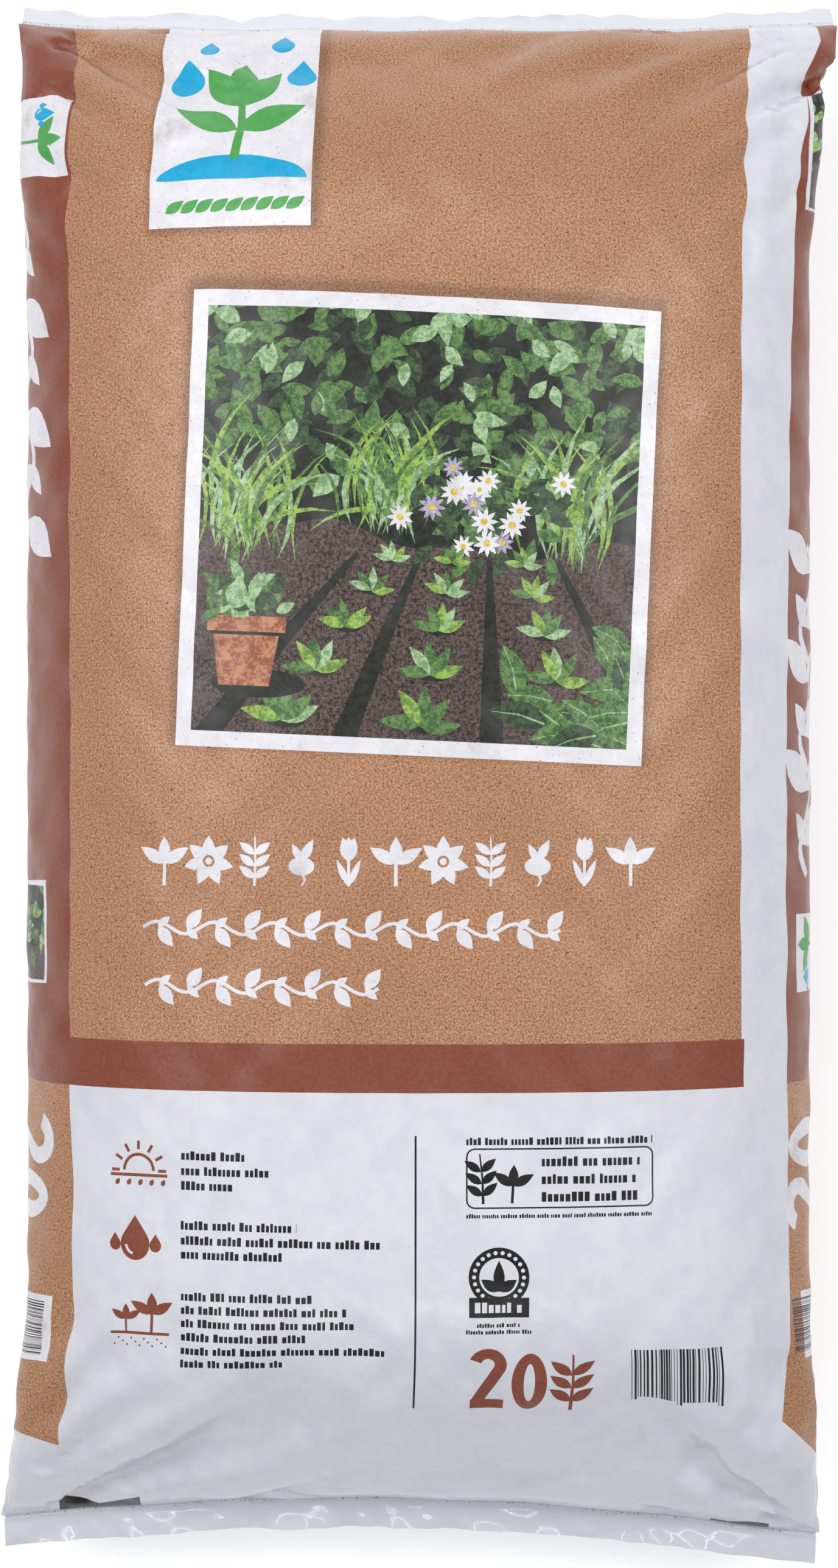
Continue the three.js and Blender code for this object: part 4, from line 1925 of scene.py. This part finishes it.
@dataclass
class FilmMaterial:
    """Polyethylene film, blown and printed: a satin plastic skin, scuffed and a little dirty.

    The blowing leaves it smooth and faintly uneven, which breaks the gleams up. Its patterns follow
    the flat film in millimetres.
    """

    finish: Finish
    sizes: BagSizes
    film_length: float
    name: str
    fleck_tone: str = "5f3c29"
    pale_fleck_tone: str = "e0bc9c"
    shadow_tone: str = "4a2f22"
    smear_tone: str = "9b8c7c"
    speck_tone: str = "3a302b"
    # painted highlight: the paler tone that the fins are mixed towards, for the light they catch
    fin_painted_light_tone: str = "e0e4eb"
    weld_soil_tone: str = "2e2825"
    broad_share: float = 0.16
    pale_fleck_share: float = 0.6
    shadow_share: float = 0.42
    shadow_reach: float = 4.5
    smear_share: float = 0.5
    crumb_share: float = 0.9
    weld_soil_from: float = 2.6
    weld_soil_full: float = 0.8
    fin_edge: float = 2.0
    fin_gloss: float = 0.14
    gloss_range: float = 0.1
    fine_relief_share: float = 0.25
    relief: float = 0.1
    ior: float = 1.5

    def __post_init__(self) -> None:
        """Start the material and find each place of the flat film in it."""
        self.material = empty_material(self.name)
        self.add = partial(add_node, self.material.node_tree)
        half, edge = self.sizes.half_girth, self.sizes.fin_length + EDGE_MARGIN
        place = self.add(Node.PLACE, {}, uv_map="OFBake")
        flat_size = (2 * half, self.film_length + 2 * edge, 0)
        scaled = self.add(Node.VECTOR, {0: place, 1: flat_size}, operation="MULTIPLY")
        self.film = self.add(Node.VECTOR, {0: scaled, 1: (half, edge, 0)}, operation="SUBTRACT")
        self.along = self.add(Node.SPLIT, {0: self.film}, "Y")
        self.beyond_weld = self._beyond_weld()

    def build(self) -> bpy.types.Material:
        """Link the colour, gloss and fine relief to the surface.

        Returns:
            The material.
        """
        gloss = self._pattern(GLOSS, self.gloss_range)
        middle = self.finish.roughness - self.gloss_range / 2
        rough = self.add(Node.NUMBER, {0: gloss, 1: middle}, operation="ADD")
        fins = self.add(Node.NUMBER, {0: self.beyond_weld, 1: self.fin_gloss}, operation="MULTIPLY")
        rough = self.add(Node.NUMBER, {0: rough, 1: fins}, operation="SUBTRACT")
        fine = {0: self._pattern(FINE_RELIEF), 1: self.fine_relief_share}
        fine = self.add(Node.NUMBER, fine, operation="MULTIPLY")
        height = self.add(Node.NUMBER, {0: self._pattern(BROAD_RELIEF), 1: fine}, operation="ADD")
        bump = {"Height": height, "Distance": self.relief * MM, "Strength": 1.0}
        look = {"Base Color": self._colour(), "Roughness": rough, "IOR": self.ior}
        look["Normal"] = self.add(Node.BUMP, bump, "Normal")
        self.add(Node.OUTPUT, {"Surface": self.add(Node.SURFACE, look, "BSDF")})
        return self.material

    def _pattern(self, pattern: Pattern, strength: float = 1.0) -> bpy.types.NodeSocket:
        """Lay a cloudy pattern on the film.

        Args:
            pattern: The pattern.
            strength: The most that it rises to.

        Returns:
            Its share at each place.
        """
        place = {0: self.film, 1: (*pattern.stretch, 1)}
        place = self.add(Node.VECTOR, place, operation="MULTIPLY")
        cloud = {"Vector": place, "Scale": 1 / pattern.pitch}
        cloud.update({"Detail": pattern.detail, "Roughness": pattern.grit})
        cloud = self.add(Node.NOISE, cloud, noise_dimensions="2D")
        if pattern.low == pattern.high:
            return cloud
        rise = {"Value": cloud, "From Min": pattern.low, "From Max": pattern.high, "To Max": strength}
        return self.add(Node.RAMP, rise, interpolation_type="SMOOTHSTEP")

    def _colour(self) -> bpy.types.NodeSocket:
        """Lay the grain, flecks, printed shadows, dirt, soil and the painted highlight of the fins over the
        ink's tone.

        Returns:
            The colour.
        """
        f = self.finish
        dark = linear(f.dark)
        grain = {0: self._pattern(replace(GRAIN, pitch=f.grain_pitch)), 6: dark, 7: linear(f.light)}
        layers = [
            (f.grain_share, self.add(Node.MIX, grain, 2, data_type="RGBA")),
            (self._pattern(BROAD_SHADE, self.broad_share), dark),
        ]
        if f.fleck_share > 0:
            layers.append((self._pattern(DARK_FLECKS, f.fleck_share), linear(self.fleck_tone)))
            pale = self._pattern(PALE_FLECKS, f.fleck_share * self.pale_fleck_share)
            layers.append((pale, linear(self.pale_fleck_tone)))
        if f.has_picture_shadow:
            layers += [(self._shadow(*row), linear(self.shadow_tone)) for row in PRINTED_SHADOWS]
        if f.dirt_share > 0:
            smears = self._pattern(SMEARS, f.dirt_share * self.smear_share)
            layers.append((smears, linear(self.smear_tone)))
            layers.append((self._pattern(SPECKS, f.dirt_share), linear(self.speck_tone)))
        # Painted light: the fins are mixed towards a paler tone, a painted highlight for the light they
        # catch.
        if f.fin_painted_light_share > 0:
            fins = self.add(Node.NUMBER, {0: self.beyond_weld, 1: f.fin_painted_light_share}, operation="MULTIPLY")
            layers.append((fins, linear(self.fin_painted_light_tone)))
        layers.append((self._weld_soil(), linear(self.weld_soil_tone)))
        tone = linear(f.base)
        for share, layer in layers:
            tone = self.add(Node.MIX, {0: share, 6: tone, 7: layer}, 2, data_type="RGBA")
        return tone

    def _shadow(self, place: Place, width: float, height: float) -> bpy.types.NodeSocket:
        """The soft shadow printed round a pasted box.

        Args:
            place: The middle of the box and its turn.
            width: How wide the box is.
            height: How tall it is.

        Returns:
            The shadow's share, the most beside the box.
        """
        from_middle = {0: self.film, 1: (place.x, place.y, 0)}
        from_middle = self.add(Node.VECTOR, from_middle, operation="SUBTRACT")
        turned = {"Vector": from_middle, "Angle": math.radians(-place.turn)}
        turned = self.add(Node.TURN, turned, rotation_type="Z_AXIS")
        away = self.add(Node.VECTOR, {0: turned}, operation="ABSOLUTE")
        away = self.add(Node.VECTOR, {0: away, 1: (width / 2, height / 2, 0)}, operation="SUBTRACT")
        away = self.add(Node.VECTOR, {0: away, 1: (0, 0, 0)}, operation="MAXIMUM")
        outside = self.add(Node.VECTOR, {0: away}, "Value", operation="LENGTH")
        fall = {"Value": outside, "From Min": self.shadow_reach, "From Max": 0.0, "To Max": 1.0}
        shade = self.add(Node.RAMP, fall, interpolation_type="SMOOTHSTEP")
        return self.add(Node.NUMBER, {0: shade, 1: self.shadow_share}, operation="MULTIPLY")

    def _beyond_weld(self) -> bpy.types.NodeSocket:
        """Tell the fins from the film between the welds.

        Returns:
            1 on the fins, 0 between the welds.
        """
        half = self.film_length / 2
        away = self.add(Node.NUMBER, {0: self.along, 1: half}, operation="SUBTRACT")
        away = self.add(Node.NUMBER, {0: away}, operation="ABSOLUTE")
        rise = {"Value": away, "From Min": half, "From Max": half + self.fin_edge, "To Max": 1.0}
        return self.add(Node.RAMP, rise, interpolation_type="SMOOTHSTEP")

    def _weld_soil(self) -> bpy.types.NodeSocket:
        """Crumbs of soil caught along both welds.

        Returns:
            Their share at each place.
        """
        near = []
        for weld in (0.0, self.film_length):
            away = self.add(Node.NUMBER, {0: self.along, 1: weld}, operation="SUBTRACT")
            away = self.add(Node.NUMBER, {0: away}, operation="ABSOLUTE")
            rise = {"Value": away, "From Min": self.weld_soil_from, "From Max": self.weld_soil_full}
            near.append(self.add(Node.RAMP, {**rise, "To Max": 1.0}, interpolation_type="SMOOTHSTEP"))
        either = self.add(Node.NUMBER, dict(enumerate(near)), operation="MAXIMUM")
        crumbs = {0: self._pattern(SOIL_CRUMBS, self.crumb_share), 1: self._pattern(SOIL_CLUSTERS)}
        crumbs = self.add(Node.NUMBER, crumbs, operation="MULTIPLY")
        return self.add(Node.NUMBER, {0: either, 1: crumbs}, operation="MULTIPLY")


@dataclass(frozen=True)
class Lamp:
    """A soft rectangular lamp: its place and size in metres, and its power in watts."""

    name: str
    place: tuple[float, float, float]
    size: tuple[float, float]
    watts: float


@dataclass(frozen=True)
class Studio:
    """The camera over the bag, the pale floor and the soft lamps. Lengths are metres."""

    weld_height: float = BagSizes.weld_height * MM
    camera_distance: float = 1.25  # from the welds up to the camera
    frame_height: float = 0.5922  # what the frame takes in at the height of the welds
    sensor_height: float = 24.0  # millimetres
    aim_height: float = 0.07
    floor_size: float = 8.0
    floor_gap: float = 0.0002  # so that the film and the paper don't lie in one plane
    floor_tone: str = "f4f4f4"
    floor_roughness: float = 0.8
    floor_lift: float = 0.4  # light added to the floor where it is seen as a background
    sky_tone: str = "f3f6fd"
    sky_strength: float = 0.42
    lamps: tuple[Lamp, ...] = (
        Lamp("left_softbox", (-0.85, 0.34, 1.4), (0.5, 0.9), 8.4),
        Lamp("right_softbox", (0.85, 0.34, 1.4), (0.5, 0.9), 8.4),
        Lamp("top_strip", (-0.3, 1.1, 1.1), (0.6, 0.14), 4.0),
        Lamp("bottom_strip", (-0.15, -0.95, 1.2), (1.2, 0.05), 2.0),
    )

    def build(self) -> None:
        """Make everything round the bag."""
        self._camera()
        self._floor()
        for lamp in self.lamps:
            self._lamp(lamp)
        world = bpy.data.worlds.new("studio")
        bpy.context.scene.world = world
        world.use_nodes = True
        background = world.node_tree.nodes["Background"]
        background.inputs["Color"].default_value = linear(self.sky_tone)
        background.inputs["Strength"].default_value = self.sky_strength

    def _camera(self) -> None:
        """Look straight down on the front, framed as the photograph is."""
        data = bpy.data.cameras.new("camera")
        data.sensor_fit = "VERTICAL"
        data.sensor_height = self.sensor_height
        data.lens = self.sensor_height * self.camera_distance / self.frame_height
        camera = bpy.data.objects.new("camera", data)
        camera.location = (0, 0, self.weld_height + self.camera_distance)
        bpy.context.scene.collection.objects.link(camera)
        bpy.context.scene.camera = camera
        LOG.info("camera: %.2f m above the welds", self.camera_distance)

    def _lamp(self, lamp: Lamp) -> None:
        """Hang one lamp and point it at the bag.

        Args:
            lamp: The lamp.
        """
        data = bpy.data.lights.new(lamp.name, "AREA")
        data.shape = "RECTANGLE"
        data.size, data.size_y = lamp.size
        data.energy = lamp.watts
        light = bpy.data.objects.new(lamp.name, data)
        light.location = lamp.place
        aim = Vector((0, 0, self.aim_height)) - Vector(lamp.place)
        light.rotation_euler = aim.to_track_quat("-Z", "Y").to_euler()
        bpy.context.scene.collection.objects.link(light)
        LOG.info("%s: %.1f W", lamp.name, lamp.watts)

    def _floor(self) -> None:
        """Lay the floor of uncoated paper: matt, and nearly white where a camera sees it."""
        bpy.ops.mesh.primitive_plane_add(size=self.floor_size, location=(0, 0, -self.floor_gap))
        floor = bpy.context.object
        floor.name = "floor"
        material = empty_material("uncoated_white_paper")
        add = partial(add_node, material.node_tree)
        seen = add(Node.RAYS, {}, "Is Camera Ray")
        for other in ("Is Glossy Ray", "Is Transmission Ray"):
            seen = add(Node.NUMBER, {0: seen, 1: add(Node.RAYS, {}, other)}, operation="MAXIMUM")
        lift = add(Node.NUMBER, {0: seen, 1: self.floor_lift}, operation="MULTIPLY")
        look = {"Base Color": linear(self.floor_tone), "Roughness": self.floor_roughness}
        look.update({"Specular IOR Level": 0.0, "Emission Color": linear("ffffff")})
        look["Emission Strength"] = lift
        add(Node.OUTPUT, {"Surface": add(Node.SURFACE, look, "BSDF")})
        floor.data.materials.append(material)
        LOG.info("floor: %.0f m square", self.floor_size)


def main() -> None:
    """Build the scene."""
    logging.basicConfig(level=logging.INFO, format="%(name)s: %(message)s")
    bpy.context.scene.view_settings.view_transform = "Standard"
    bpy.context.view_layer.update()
    Studio().build()
    bag = PrintedFilmBag().build()
    LOG.info("%s: %d faces", bag.name, len(bag.data.polygons))
    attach(bag, "root")
    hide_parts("bag")


if __name__ == "__main__":
    main()
